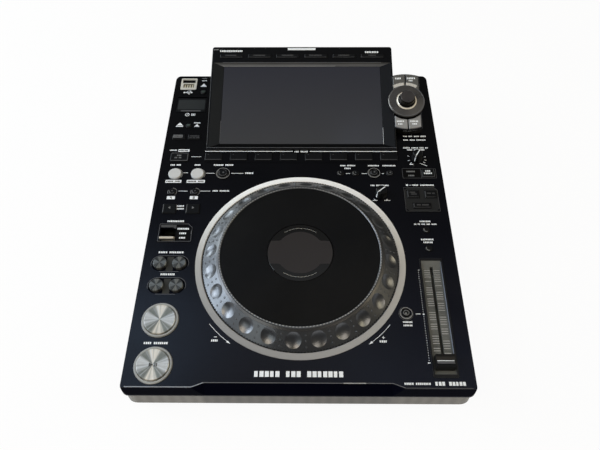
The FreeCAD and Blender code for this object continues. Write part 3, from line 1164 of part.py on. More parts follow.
def make_rear():
    plate = block(-REAR_PLATE_HALF, REAR_PLATE_HALF, REAR_Y - REAR_PLATE, REAR_Y,
                  REAR_PLATE_BOTTOM, REAR_PLATE_TOP)
    back = Vec(0, 1, 0)
    windows = []
    sockets = []
    for x, size, opening in ((INLET_X, INLET_BLOCK, INLET_OPENING), (LAN_X, LAN_BLOCK, LAN_OPENING),
                             (USB_B_X, USB_B_BLOCK, USB_B_OPENING)):
        body = rear_block(x, size, STAND_OUT).cut(rear_block(x, opening, STAND_OUT))
        if x == INLET_X:
            flange_size = (size[0] + 2 * INLET_FLANGE, size[1] + 2 * INLET_FLANGE, 0)
            rim = rear_block(x, flange_size, 2 * STAND_OUT).cut(rear_block(x, opening, 2 * STAND_OUT))
            body = body.fuse(rim)
            pin_y = REAR_Y - INLET_OPENING[2]
            width, height, length = INLET_PIN
            for pin_x, rise in ((-INLET_PIN_SPREAD, -INLET_PIN_RISE), (0.0, INLET_PIN_RISE),
                                (INLET_PIN_SPREAD, -INLET_PIN_RISE)):
                x0 = x + pin_x - width / 2
                z0 = SOCKET_Z + rise - height / 2
                body = body.fuse(block(x0, x0 + width, pin_y, pin_y + length, z0, z0 + height))
        sockets.append(body.removeSplitter())
        windows.append(rear_hole(x, size))

    for x in PHONO_XS:
        start = Vec(x, REAR_Y - REAR_PLATE - PHONO_BODY_LENGTH, SOCKET_Z)
        shell = Part.makeCylinder(PHONO_BODY_RADIUS, PHONO_BODY_LENGTH, start, back)
        neck = Part.makeCylinder(PHONO_NECK, PHONO_BODY_LENGTH + REAR_PLATE, start, back)
        face = Vec(x, REAR_Y, SOCKET_Z)
        barrel = Part.makeCylinder(PHONO_RADIUS, SOCKET_STAND_OUT, face, back)
        bore = Part.makeCylinder(PHONO_BORE, SOCKET_STAND_OUT, face, back)
        sockets.append(joined([shell, neck, barrel]).cut(bore))
        hole_start = Vec(x, REAR_Y - REAR_PLATE - OVER, SOCKET_Z)
        windows.append(Part.makeCylinder(PHONO_NECK + FIXED_GAP, REAR_PLATE + 2 * OVER, hole_start, back))

    pivot_y = REAR_Y - ROCKER_PIVOT
    shell = rear_block(SWITCH_X, SWITCH_BLOCK, STAND_OUT)
    cavity = rear_block(SWITCH_X, SWITCH_CAVITY + (SWITCH_BLOCK[2] - WALL,), STAND_OUT)
    pin_half = ROCKER[0] / 2 + ROCKER_PIN_REACH
    pin_start = Vec(SWITCH_X - pin_half, pivot_y, SOCKET_Z)
    pin = Part.makeCylinder(ROCKER_PIN_RADIUS, 2 * pin_half, pin_start, Vec(1, 0, 0))
    bore = Part.makeCylinder(ROCKER_PIN_RADIUS + RUNNING_GAP, SWITCH_BLOCK[0],
                             Vec(SWITCH_X - SWITCH_BLOCK[0] / 2, pivot_y, SOCKET_Z), Vec(1, 0, 0))
    sockets.append(shell.cut([cavity, bore]))
    windows.append(rear_hole(SWITCH_X, SWITCH_BLOCK))
    half = ROCKER[1] / 2
    rocker_back = pivot_y - ROCKER_BACK
    rocker_face = pivot_y + ROCKER_REACH
    rocker_profile = [(rocker_back, SOCKET_Z - half), (rocker_face, SOCKET_Z - half),
                      (rocker_face - ROCKER_DIP, SOCKET_Z), (rocker_face, SOCKET_Z + half),
                      (rocker_back, SOCKET_Z + half)]
    rocker = side_prism(rocker_profile, SWITCH_X - ROCKER[0] / 2, SWITCH_X + ROCKER[0] / 2).fuse(pin)
    rocker.rotate(Vec(SWITCH_X, pivot_y, SOCKET_Z), Vec(1, 0, 0), -ROCKER_ANGLE)
    nodes["power_switch"] = rocker.removeSplitter()

    for index in range(VENT_COUNT):
        x = VENT_X - (VENT_COUNT - 1) * VENT_PITCH / 2 + index * VENT_PITCH
        windows.append(rear_block(x, VENT_SIZE + (REAR_PLATE + OVER,), OVER))
    nodes["rear_panel"] = plate.cut(windows)
    nodes["rear_sockets"] = Part.makeCompound(sockets)


# ================================================================ build
make_left_controls()
make_direction_lever()
make_upper_controls()
make_right_controls()
make_slider()
make_media_sockets()
jog_post = make_jog()
for node in nodes:
    nodes[node] = on_panel(nodes[node])
nodes["jog_post"] = jog_post
make_screen()
browse = make_browse()
make_top_case(*browse[:4])
make_base()
make_boards(browse[4])
make_rear()

os.makedirs("parts", exist_ok=True)
for node, shape in nodes.items():
    shape.exportStep("parts/" + node + ".step")
    box = shape.BoundBox
    print("%-26s solids %2d valid %s  volume %9.0f  z %6.1f..%6.1f" % (
        node, len(shape.Solids), shape.isValid(), shape.Volume, box.ZMin, box.ZMax))
print(len(nodes), "nodes")
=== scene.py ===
"""Looks, light and camera for the tabletop media player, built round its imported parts."""
import math

import bpy
from mathutils import Matrix, Vector


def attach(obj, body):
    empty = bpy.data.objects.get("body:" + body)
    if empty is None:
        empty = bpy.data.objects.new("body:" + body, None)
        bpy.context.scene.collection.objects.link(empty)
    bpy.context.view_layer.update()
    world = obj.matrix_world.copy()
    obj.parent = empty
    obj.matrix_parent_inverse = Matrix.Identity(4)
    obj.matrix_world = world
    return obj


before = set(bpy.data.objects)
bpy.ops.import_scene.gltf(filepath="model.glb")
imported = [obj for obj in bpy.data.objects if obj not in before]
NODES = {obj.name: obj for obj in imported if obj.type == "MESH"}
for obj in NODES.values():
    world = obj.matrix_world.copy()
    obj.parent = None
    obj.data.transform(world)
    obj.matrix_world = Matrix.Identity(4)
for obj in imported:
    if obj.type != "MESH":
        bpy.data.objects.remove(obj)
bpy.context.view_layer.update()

ROOT, WHEEL = "chassis", "jog_wheel"

# ------------------------ frames, places and levels
# Points are in millimetres: across, up the panel (or the screen) from its front edge, and out of it.
MM = 0.001
SLOPE, TILT = math.radians(5.0), math.radians(14.5)
PANEL = Matrix.Scale(MM, 4) @ Matrix.Translation((0, -222.0, 41.5)) @ Matrix.Rotation(SLOPE, 4, "X")
SCREEN = PANEL @ Matrix.Translation((0, 287.5, 3.0)) @ Matrix.Rotation(TILT, 4, "X")

# controls on the panel
JOG = (1.0, 136.5)
PLAY, CUE = (-136.5, 21.0), (-136.5, 67.0)
WELL_US, SEARCH_V, TRACK_V = (-145.75, -125.45), 105.2, 131.5
LEFT_US, LOOP_V, BEAT_LOOP_V, BEAT_JUMP_V = (-145.5, -119.3), 251.3, 225.9, 201.9
SLIP = (-143.5, 277.3)
RELOOP, DELETE, MEMORY, RESET = (-89.8, 252.3), (85.6, 253.2), (104.0, 253.2), (106.0, 75.2)
CALL_US, CALL_V = (46.65, 64.15), 253.2
RANGE_U, RANGE_VS = 137.3, (174.4, 150.7)
STOPS = ((-138.6, 328.3), (-126.0, 387.4))
VINYL_KNOB, JOG_KNOB, JOG_MODE = (137.5, 276.0), (91.4, 222.4), (148.7, 252.9)
SYNC_KEYS = (((127.8, 222.2), (13.2, 10.4)), ((147.6, 222.2), (13.2, 10.4)), ((136.2, 206.3), (19.4, 7.2)))
HOT_CUES, HOT_CUE_PITCH, HOT_CUE_V = 8, 29.7, 278.0
SLIDER, SLIDER_FRONT, RIB_PITCH = (137.3, 74.6), 24.6, 2.5
# on the screen's plane
SELECTOR, MID_U = (129.0, 63.5), 1.2
GLASS_HALF, BEZEL_HALF = 98.25, 111.9

# levels of the faces that carry print
KEY_TOP, SYNC_TOP, SMALL_TOP, RINGED_TOP, LOOP_TOP, HOT_CUE_TOP, PLAY_TOP = 1.0, 1.8, 1.2, 2.2, 1.4, 1.1, 3.0
RIM_TOP, RING_TOP, STRIP_TOP, MODE_TOP, LIP_TOP = 0.8, 1.0, 0.3, 0.4, 0.5
CONTACT_FLOOR, WELL_FLOOR, SLOT_FLOOR, LEVER_FLOOR, CHANNEL_FLOOR = -0.8, -0.8, -1.6, -12.35, -1.35
BROWSE_TOP, MENU_TOP, GLASS_TOP, WINDOW_TOP, KNOB_TOP = 1.4, 0.8, -2.95, 15.7, 10.0
INK = 0.05                    # print stands this far off its surface
SINK = 0.05                   # and reaches this far into it
SMALL, MAJOR = 1.9, 2.2       # heights of a row of print


# ------------------------ materials
def rgb(red, green, painted_blue_reflection):
    """A colour given as it looks on a screen, from 0 to 255."""
    out = []
    for value in (red, green, painted_blue_reflection):
        share = value / 255
        out.append(share / 12.92 if share <= 0.04045 else ((share + 0.055) / 1.055) ** 2.4)
    return tuple(out) + (1.0,)


def scaled(colour, share):
    return tuple(min(1.0, c * share) for c in colour[:3]) + (1.0,)


class Look:
    """A procedural material under construction."""

    def __init__(self, name):
        self.material = bpy.data.materials.new(name)
        self.material.use_nodes = True
        self.tree = self.material.node_tree
        self.shader = self.tree.nodes["Principled BSDF"]
        self.place = self.node("ShaderNodeTexCoord").outputs["Object"]
        self.normal = None

    def node(self, kind, **values):
        made = self.tree.nodes.new(kind)
        for key, value in values.items():
            setattr(made, key, value)
        return made

    def feed(self, entry, value):
        """Links an output to an input, or sets a plain value on it."""
        if isinstance(value, bpy.types.NodeSocket):
            self.tree.links.new(value, entry)
        else:
            entry.default_value = value

    def local(self, frame_matrix, centre):
        """Object coordinates carried into a frame with its origin at centre."""
        mapping = self.node("ShaderNodeMapping", vector_type="TEXTURE")
        mapping.inputs["Location"].default_value = frame_matrix @ Vector((*centre, 0))
        mapping.inputs["Rotation"].default_value = frame_matrix.to_euler()
        self.feed(mapping.inputs["Vector"], self.place)
        self.place = mapping.outputs["Vector"]
        return self

    def noise(self, scale, detail=3.0, stretch=None, source=None):
        texture = self.node("ShaderNodeTexNoise")
        texture.inputs["Scale"].default_value = scale
        texture.inputs["Detail"].default_value = detail
        source = source or self.place
        if stretch:
            mapping = self.node("ShaderNodeMapping")
            mapping.inputs["Scale"].default_value = stretch
            self.feed(mapping.inputs["Vector"], source)
            source = mapping.outputs["Vector"]
        self.feed(texture.inputs["Vector"], source)
        return texture.outputs["Fac"]

    def spread(self, value, low, high, low_in=0.3, high_in=0.7):
        ranged = self.node("ShaderNodeMapRange")
        for entry, share in zip(ranged.inputs, (value, low_in, high_in, low, high)):
            self.feed(entry, share)
        return ranged.outputs["Result"]

    def times(self, first, second):
        return self.maths("MULTIPLY", first, second)

    def maths(self, operation, *values):
        step = self.node("ShaderNodeMath", operation=operation)
        for entry, value in zip(step.inputs, values):
            self.feed(entry, value)
        return step.outputs[0]

    def axes(self):
        split = self.node("ShaderNodeSeparateXYZ")
        self.feed(split.inputs[0], self.place)
        return split.outputs

    def radius(self):
        x, y, _ = self.axes()
        return self.maths("SQRT", self.maths("ADD", self.times(x, x), self.times(y, y)))

    def rings(self, radius, pitch):
        """Fine circles a pitch apart."""
        return self.maths("SINE", self.times(radius, 2 * math.pi / (pitch * MM)))

    def cloud(self, scale, detail=4.0):
        return self.spread(self.noise(scale, detail), 0.0, 1.0)

    def sheen(self, scale, low, high, detail=5.0):
        """A roughness that wanders between low and high."""
        return self.spread(self.noise(scale, detail), low, high)

    def blend(self, share, first, second):
        mix = self.node("ShaderNodeMix", data_type="RGBA")
        for entry, value in ((mix.inputs["Factor"], share), (mix.inputs[6], first), (mix.inputs[7], second)):
            self.feed(entry, value)
        return mix.outputs[2]

    def ramp(self, value, stops):
        ramp = self.node("ShaderNodeValToRGB")
        elements = ramp.color_ramp.elements
        while len(elements) < len(stops):
            elements.new(0.5)
        for element, (place, colour) in zip(elements, stops):
            element.position = place
            element.color = rgb(*colour)
        self.feed(ramp.inputs["Fac"], value)
        return ramp.outputs["Color"]

    def bump(self, value, depth):
        """depth in millimetres."""
        step = self.node("ShaderNodeBump")
        step.inputs["Distance"].default_value = depth * MM
        step.inputs["Strength"].default_value = 1.0
        self.feed(step.inputs["Height"], value)
        if self.normal is not None:
            self.feed(step.inputs["Normal"], self.normal)
        self.normal = step.outputs["Normal"]
        return self

    def finish(self, colour, rough, metal=0.0, specular=0.5):
        for entry, value in (("Base Color", colour), ("Roughness", rough), ("Metallic", metal),
                             ("Specular IOR Level", specular), ("Normal", self.normal)):
            if value is not None:
                self.feed(self.shader.inputs[entry], value)
        return self.material


def moulded(name, colour, rough=0.45, specular=0.5, metal=0.0, mottle=0.12, grain=0.02, pitch=0.5):
    """Moulded or painted surface: fine grain, faint clouding and an uneven sheen."""
    look = Look(name)
    colour = rgb(*colour)
    shade = look.blend(look.cloud(26.0), scaled(colour, 1 - mottle), scaled(colour, 1 + mottle))
    look.bump(look.noise(1 / (pitch * MM), 2.0), grain)
    return look.finish(shade, look.sheen(9.0, rough - 0.05, rough + 0.05, 6.0), metal, specular)


def spun(name, centre, colour, rough, warm, flank, cool):
    """Polished face with a painted radial reflection: fans of painted light and fine painted rays round its
    centre.
    """
    look = Look(name).local(PANEL, centre)
    colour = rgb(*colour)
    look.bump(look.rings(look.radius(), 0.25), 0.004)
    shade = look.blend(look.cloud(90.0, 3.0), scaled(colour, 0.95), scaled(colour, 1.05))
    x, y, _ = look.axes()
    # painted reflection: fans of warm, flank and cool colour by angle round the centre
    turns = look.times(look.maths("ARCTAN2", y, x), 2.0)
    wave = look.maths("MULTIPLY_ADD", look.maths("COSINE", turns), 0.5, 0.5)
    fan = look.ramp(wave, ((0.0, warm), (0.08, warm), (0.24, flank), (0.62, flank), (0.86, cool),
                           (1.0, cool)))
    shade = look.blend(look.spread(look.noise(260.0, 2.0, (1.0, 1.0, 1.0)), 0.0, 0.22), fan, shade)
    turn = look.node("ShaderNodeCombineXYZ")
    look.feed(turn.inputs[0], look.times(y, -1.0))
    look.feed(turn.inputs[1], x)
    along = look.node("ShaderNodeVectorMath", operation="NORMALIZE")
    look.feed(along.inputs[0], turn.outputs[0])
    look.feed(look.shader.inputs["Tangent"], along.outputs[0])
    look.shader.inputs["Anisotropic"].default_value = 0.7
    # painted reflection: fine streaks along the rays
    rays = look.noise(5.0, 4.0, source=along.outputs[0])
    shade = look.blend(look.spread(rays, 0.45, 0.0, 0.36, 0.54), shade, rgb(*flank))
    shade = look.blend(look.spread(rays, 0.0, 0.5, 0.54, 0.68), shade, rgb(*cool))
    return look.finish(shade, look.sheen(35.0, rough - 0.03, rough + 0.05), 0.6)


def case_look():
    """Polished black face with a painted blue reflection towards the front, over duller sides."""
    look = Look("case").local(PANEL, (0.0, 0.0))
    _, y, z = look.axes()
    face = look.maths("GREATER_THAN", z, -0.4 * MM)
    cloud = look.cloud(9.0)
    black = look.blend(cloud, rgb(2, 2, 4), rgb(4, 4, 6))
    # painted reflection: a bluer copy of the black, blended in towards the front
    painted_blue_reflection = look.blend(cloud, rgb(3, 4, 14), rgb(6, 7, 19))
    shade = look.blend(look.spread(y, 1.0, 0.0, 90 * MM, 290 * MM), black, painted_blue_reflection)
    look.feed(look.shader.inputs["Specular IOR Level"], look.maths("MULTIPLY_ADD", face, 0.40, 0.06))
    look.bump(look.noise(2800.0, 2.0), 0.008)
    return look.finish(shade, look.sheen(14.0, 0.20, 0.27), specular=None)


def pan_look():
    """Taupe satin band across the front, dark paint below it and on the sides."""
    look = Look("pan")
    x, y, z = look.axes()
    share = look.times(look.maths("LESS_THAN", y, -209 * MM),
                       look.maths("GREATER_THAN", z, 16.6 * MM))
    cloud = look.cloud(18.0, 3.0)
    waves = look.maths("SINE", look.times(x, 2 * math.pi / (10.5 * MM)))
    blobs = look.spread(waves, 0.90, 1.12, -1.0, 1.0)
    middle = look.spread(look.maths("ABSOLUTE", x), 0.62, 1.0, 86 * MM, 92 * MM)
    shading = look.node("ShaderNodeVectorMath", operation="SCALE")
    look.feed(shading.inputs[0], look.blend(cloud, rgb(116, 113, 106), rgb(138, 135, 130)))
    look.feed(shading.inputs["Scale"], look.times(blobs, middle))
    dark = look.blend(cloud, rgb(26, 26, 27), rgb(32, 32, 33))
    look.bump(look.noise(1800.0, 2.0), 0.02)
    return look.finish(look.blend(share, dark, shading.outputs[0]), look.sheen(9.0, 0.42, 0.52), 0.0, 0.4)


def track_look():
    """Slider insert: a dark frame round a paler grey channel."""
    look = Look("track").local(PANEL, SLIDER)
    low = look.maths("LESS_THAN", look.axes()[2], 0.3 * MM)
    cloud = look.cloud(40.0)
    channel = look.blend(cloud, rgb(88, 90, 88), rgb(116, 118, 115))
    edge = look.blend(cloud, rgb(14, 15, 20), rgb(18, 19, 24))
    look.bump(look.noise(2800.0, 2.0), 0.01)
    return look.finish(look.blend(low, edge, channel), 0.42, 0.2, 0.4)


def jog_look():
    """Satin metallic lacquer over the dimpled cone."""
    look = Look("jog_lacquer").local(PANEL, JOG)
    shade = look.blend(look.cloud(30.0), rgb(98, 100, 103), rgb(110, 112, 115))
    look.bump(look.noise(3500.0, 2.0), 0.008)
    return look.finish(shade, look.sheen(12.0, 0.26, 0.32), 0.9)


def trim_look():
    """Satin silver paint, with a painted highlight that makes it paler towards the rear and a little towards
    the right.
    """
    look = Look("trim_silver").local(PANEL, JOG)
    x, y, _ = look.axes()
    across, along = (look.maths("MULTIPLY_ADD", axis, 0.5 / (110.0 * MM), 0.5) for axis in (x, y))
    # painted highlight: the colour brightens towards the rear, then towards the right
    tone = look.ramp(along, ((0.0, (131, 131, 133)), (0.2, (143, 144, 145)), (0.5, (174, 174, 172)),
                             (0.75, (224, 226, 225)), (0.95, (252, 254, 255))))
    tone = look.blend(look.times(across, 0.30), tone, rgb(232, 232, 232))
    look.bump(look.rings(look.radius(), 0.6), 0.003).bump(look.noise(2500.0, 2.0), 0.002)
    return look.finish(tone, look.sheen(35.0, 0.36, 0.44), 0.0, 0.35)


def dial_look():
    """Brushed flange, dark ribbed side and satin top of the selector."""
    look = Look("dial_metal").local(SCREEN, SELECTOR)
    radius = look.radius()
    side = look.times(look.maths("GREATER_THAN", radius, 8.2 * MM),
                      look.maths("GREATER_THAN", look.axes()[2], 6.3 * MM))
    top = look.maths("LESS_THAN", radius, 8.2 * MM)
    cloud = look.cloud(60.0)
    flange = look.blend(cloud, rgb(104, 101, 96), rgb(122, 118, 112))
    crown = look.blend(cloud, rgb(92, 88, 84), rgb(104, 99, 95))
    shade = look.blend(side, look.blend(top, flange, crown), rgb(22, 21, 20))
    look.bump(look.rings(radius, 0.5), 0.008)
    return look.finish(shade, look.sheen(35.0, 0.24, 0.34), 0.9)


def platter_look():
    """Near-black disc with fine concentric rings."""
    look = Look("platter_black").local(PANEL, JOG)
    shade = look.blend(look.cloud(40.0), rgb(6, 6, 7), rgb(9, 9, 10))
    look.bump(look.rings(look.radius(), 0.9), 0.03).bump(look.noise(2600.0, 2.0), 0.01)
    return look.finish(shade, look.sheen(14.0, 0.38, 0.48), 0.0, 0.22)


def glass_look(name, low, high, rough, place, centre, reach):
    """Dark glass with a painted reflection: its colour drifts from the front to the rear."""
    look = Look(name).local(place, centre)
    along = look.maths("MULTIPLY_ADD", look.axes()[1], 0.5 / (reach * MM), 0.5)
    smear = look.spread(look.noise(16.0, 6.0, (1.0, 0.35, 1.0)), rough, rough + 0.06)
    # painted reflection: the ramp runs from the front colour to the rear colour
    return look.finish(look.ramp(along, ((0.0, low), (1.0, high))), smear)


KEY_DARK = moulded("key_dark", (13, 14, 16), 0.40, 0.22, grain=0.010, pitch=0.3)
DRESSES = (
    (case_look(), "top_case"), (pan_look(), "base_pan"), (track_look(), "slider_track"),
    (jog_look(), "jog_ring"), (trim_look(), "jog_trim_ring"), (platter_look(), "jog_platter"),
    (dial_look(), "selector_knob"),
    (glass_look("screen_glass", (58, 59, 62), (42, 43, 52), 0.10, SCREEN, (MID_U, 62.0), 54.0),
     "touch_screen"),
    (glass_look("display_window", (24, 24, 24), (22, 22, 22), 0.12, PANEL, JOG, 34.0), "jog_display"),
    (moulded("housing", (4, 4, 5), 0.30, 0.24, grain=0.010, pitch=0.35), "screen_housing"),
    (moulded("collar_silver", (176, 177, 174), 0.34, 0.5, 0.35, 0.03, 0.006, 0.3), "button_collars"),
    (moulded("post", (60, 60, 62), 0.5), "jog_post"),
    # the boards are near-black as painted shade, seen through the lever's window
    (moulded("board", (9, 15, 12), 0.5, mottle=0.2, grain=0.05, pitch=1.2), "control_board", "main_board"),
    (moulded("supply", (120, 104, 70), 0.5, mottle=0.2, grain=0.05, pitch=1.2), "power_supply"),
    (moulded("socket_cream", (206, 204, 196), 0.45, 0.45, grain=0.012, pitch=0.3), "media_sockets"),
    (moulded("socket_black", (12, 12, 13), 0.5, 0.35), "rear_sockets", "power_switch", "tempo_cap"),
    (moulded("rear_plate", (16, 16, 17), 0.45, 0.4), "rear_panel"),
    (moulded("rubber", (16, 16, 16), 0.75, 0.3, grain=0.05, pitch=0.6), "feet"),
    (moulded("cream", (196, 192, 182), 0.42, mottle=0.04, grain=0.01, pitch=0.3), "direction_lever"),
    (moulded("steel", (150, 150, 152), 0.3, metal=1.0), "selector_shaft"),
    (moulded("loop_cap", (204, 207, 208), 0.40, mottle=0.03, grain=0.006, pitch=0.2), "loop_in", "loop_out"),
    (moulded("hot_cue", (15, 16, 18), 0.36, 0.28, grain=0.008, pitch=0.3),
     *["hot_cue_%d" % (index + 1) for index in range(HOT_CUES)]),
    (moulded("browse_rear", (90, 90, 88), 0.38, mottle=0.05, grain=0.010, pitch=0.3),
     "browse_key_rear_left", "browse_key_rear_right"),
    (moulded("browse_grey", (144, 145, 146), 0.38, mottle=0.05, grain=0.010, pitch=0.3),
     "browse_key_front_left", "browse_key_front_right"),
    (KEY_DARK, "reloop_button", "delete_button", "memory_button", "call_keys", "media_stop_keys",
     "tempo_keys", "beat_jump_back", "beat_jump_forward", "slip_button", "mode_keys", "sync_keys",
     "jog_mode_button", "menu_keys", "beat_loop_keys", "card_door", "jog_adjust_knob", "vinyl_speed_knob"),
    *[(spun("spun_" + node, centre, (214, 212, 206), 0.30, (255, 246, 230), (132, 136, 130),
            (236, 240, 242)), node)
      for node, centre in (("play_button", PLAY), ("cue_button", CUE))],
    *[(spun("spun_%s_%s" % (row, way), (u, v), (112, 113, 112), 0.34, (134, 134, 128), (56, 58, 58),
            (130, 136, 138)), "%s_%s" % (row, way))
      for row, v in (("search", SEARCH_V), ("track", TRACK_V))
      for way, u in zip(("back", "forward"), WELL_US)],
)
for material, *names in DRESSES:
    for name in names:
        slots = NODES[name].data.materials
        slots.clear()
        slots.append(material)


# ------------------------ thin pieces and print
def paint(name, colour, slot, rough=0.5, specular=0.3, metal=0.0, mottle=0.05, grain=0.004, pitch=0.2):
    """A thin coat for a small piece, with the material slot that it stands for."""
    return moulded(name, colour, rough, specular, metal, mottle, grain, pitch), slot


WHITE = paint("print_white", (240, 246, 252), "lever_cream", mottle=0.03)
# print colours, which also carry painted highlights on key edges, round keys and the front edge
GREY = paint("print_and_highlight_grey", (120, 122, 124), "lever_cream")
DIM = paint("print_and_highlight_dim", (74, 75, 77), "track_grey")
DARK = paint("print_dark", (14, 14, 15), "case_black")
STOP_INK = paint("print_green_grey", (92, 106, 100), "track_grey", mottle=0.1)
# painted highlight bands on the rear browse keys
PALE = paint("painted_band_highlight", (198, 197, 193), "lever_cream", 0.42, 0.4, grain=0.006)
# painted highlights along edges, arrises and rims
EDGE = paint("painted_edge_highlight", (112, 113, 116), "track_grey", 0.38, 0.5, 0.4)
# brighter painted highlights
GLINT = paint("painted_glint", (190, 190, 188), "trim_silver", 0.35, 0.5, 0.6)
# a bluish painted reflection along the front edge
EDGE_SILVER = paint("painted_edge_reflection", (160, 164, 170), "trim_silver", 0.32, 0.5, 0.3)
# near-black for real dark windows, and for dark sheets of painted shade in the lever's well and the USB slot
BLACK_AND_SHADE = paint("black_and_painted_shade", (5, 5, 6), "case_black", 0.6, 0.1, grain=0.02, pitch=0.5)
PLATE = paint("plate_grey", (34, 35, 36), "track_grey", 0.42, 0.25, 0.0, 0.12, 0.01, 0.3)
DOOR = paint("door_grey", (42, 45, 46), "track_grey", 0.40, 0.3, 0.0, 0.12, 0.008, 0.3)
WELL = paint("well_grey", (50, 51, 49), "track_grey", 0.48, 0.3, 0.0, 0.12, 0.008, 0.3)
# painted reflection on the slider channel's side wall
CHANNEL_WALL = paint("channel_wall_painted_reflection", (150, 160, 176), "trim_silver", 0.34, 0.5, 0.3, 0.06, 0.02, 0.5)
# painted light and shade: lit and shaded copies of the dark housing for the bezel's walls
WALL_DIM = paint("bezel_wall_painted_shade", (58, 59, 60), "housing_black", 0.36, 0.4, mottle=0.10)
WALL_MID = paint("bezel_wall_painted_half_light", (84, 85, 87), "housing_black", 0.36, 0.4, mottle=0.10)
WALL_LIT = paint("bezel_wall_painted_light", (118, 120, 122), "housing_black", 0.34, 0.5, 0.2, 0.08)
WALL_LEFT = paint("bezel_wall_left", (25, 27, 28), "housing_black", 0.36, mottle=0.08)
WALL_RIGHT = paint("bezel_wall_right", (17, 18, 21), "housing_black", 0.36, mottle=0.08)
STUD = paint("stud_grey", (92, 95, 99), "jog_rubberised", 0.34, 0.5, 0.6)
KNURL = paint("knurl_grey", (48, 49, 52), "jog_rubberised", 0.40, 0.4, 0.4)
LEDGE = paint("ledge_grey", (88, 88, 89), "jog_rubberised", 0.30, 0.5, 0.8, 0.08, 0.006, 0.3)
CROWN = paint("crown_bright", (120, 122, 124), "jog_rubberised", 0.30, 0.5, 0.5)
TICK = paint("tick_bright", (176, 176, 172), "display_window", 0.4, 0.4, mottle=0.1)
GRAPHIC = paint("graphic_grey", (45, 42, 42), "display_window", 0.30, 0.5, mottle=0.04, grain=0.002)
# a real polished ring, its colour painted bright as its reflection
RING = paint("ring_painted_bright", (240, 233, 218), "selector_black", 0.32, 0.5, 0.35, 0.03)
OLIVE = paint("recess_olive", (52, 49, 34), "socket_grey", mottle=0.1)
GOLD = paint("contact_olive", (214, 208, 184), "socket_grey", 0.34, 0.5, 0.3, 0.06)


def add_object(name, data):
    made = bpy.data.objects.new(name, data)
    bpy.context.scene.collection.objects.link(made)
    return made


def turns(count, shift=0.0):
    """Angles evenly spaced round a circle."""
    return [2 * math.pi * (index + shift) / count for index in range(count)]


def polar(centre, radius, angle):
    return centre[0] + radius * math.cos(angle), centre[1] + radius * math.sin(angle)


def plate(x0, x1, y0, y1, round_by=0.0):
    """A rectangle, with rounded corners if round_by is given."""
    if not round_by:
        return [(x0, y0), (x1, y0), (x1, y1), (x0, y1)]
    outline = []
    for x, y, turn in ((x1 - round_by, y0 + round_by, -90), (x1 - round_by, y1 - round_by, 0),
                       (x0 + round_by, y1 - round_by, 90), (x0 + round_by, y0 + round_by, 180)):
        outline += [polar((x, y), round_by, math.radians(turn + 30 * index)) for index in range(4)]
    return outline


def cut_plate(x0, x1, y0, y1, cut):
    """A rectangle with its rear right corner cut off."""
    return [(x0, y0), (x1, y0), (x1, y1 - cut), (x1 - cut, y1), (x0, y1)]


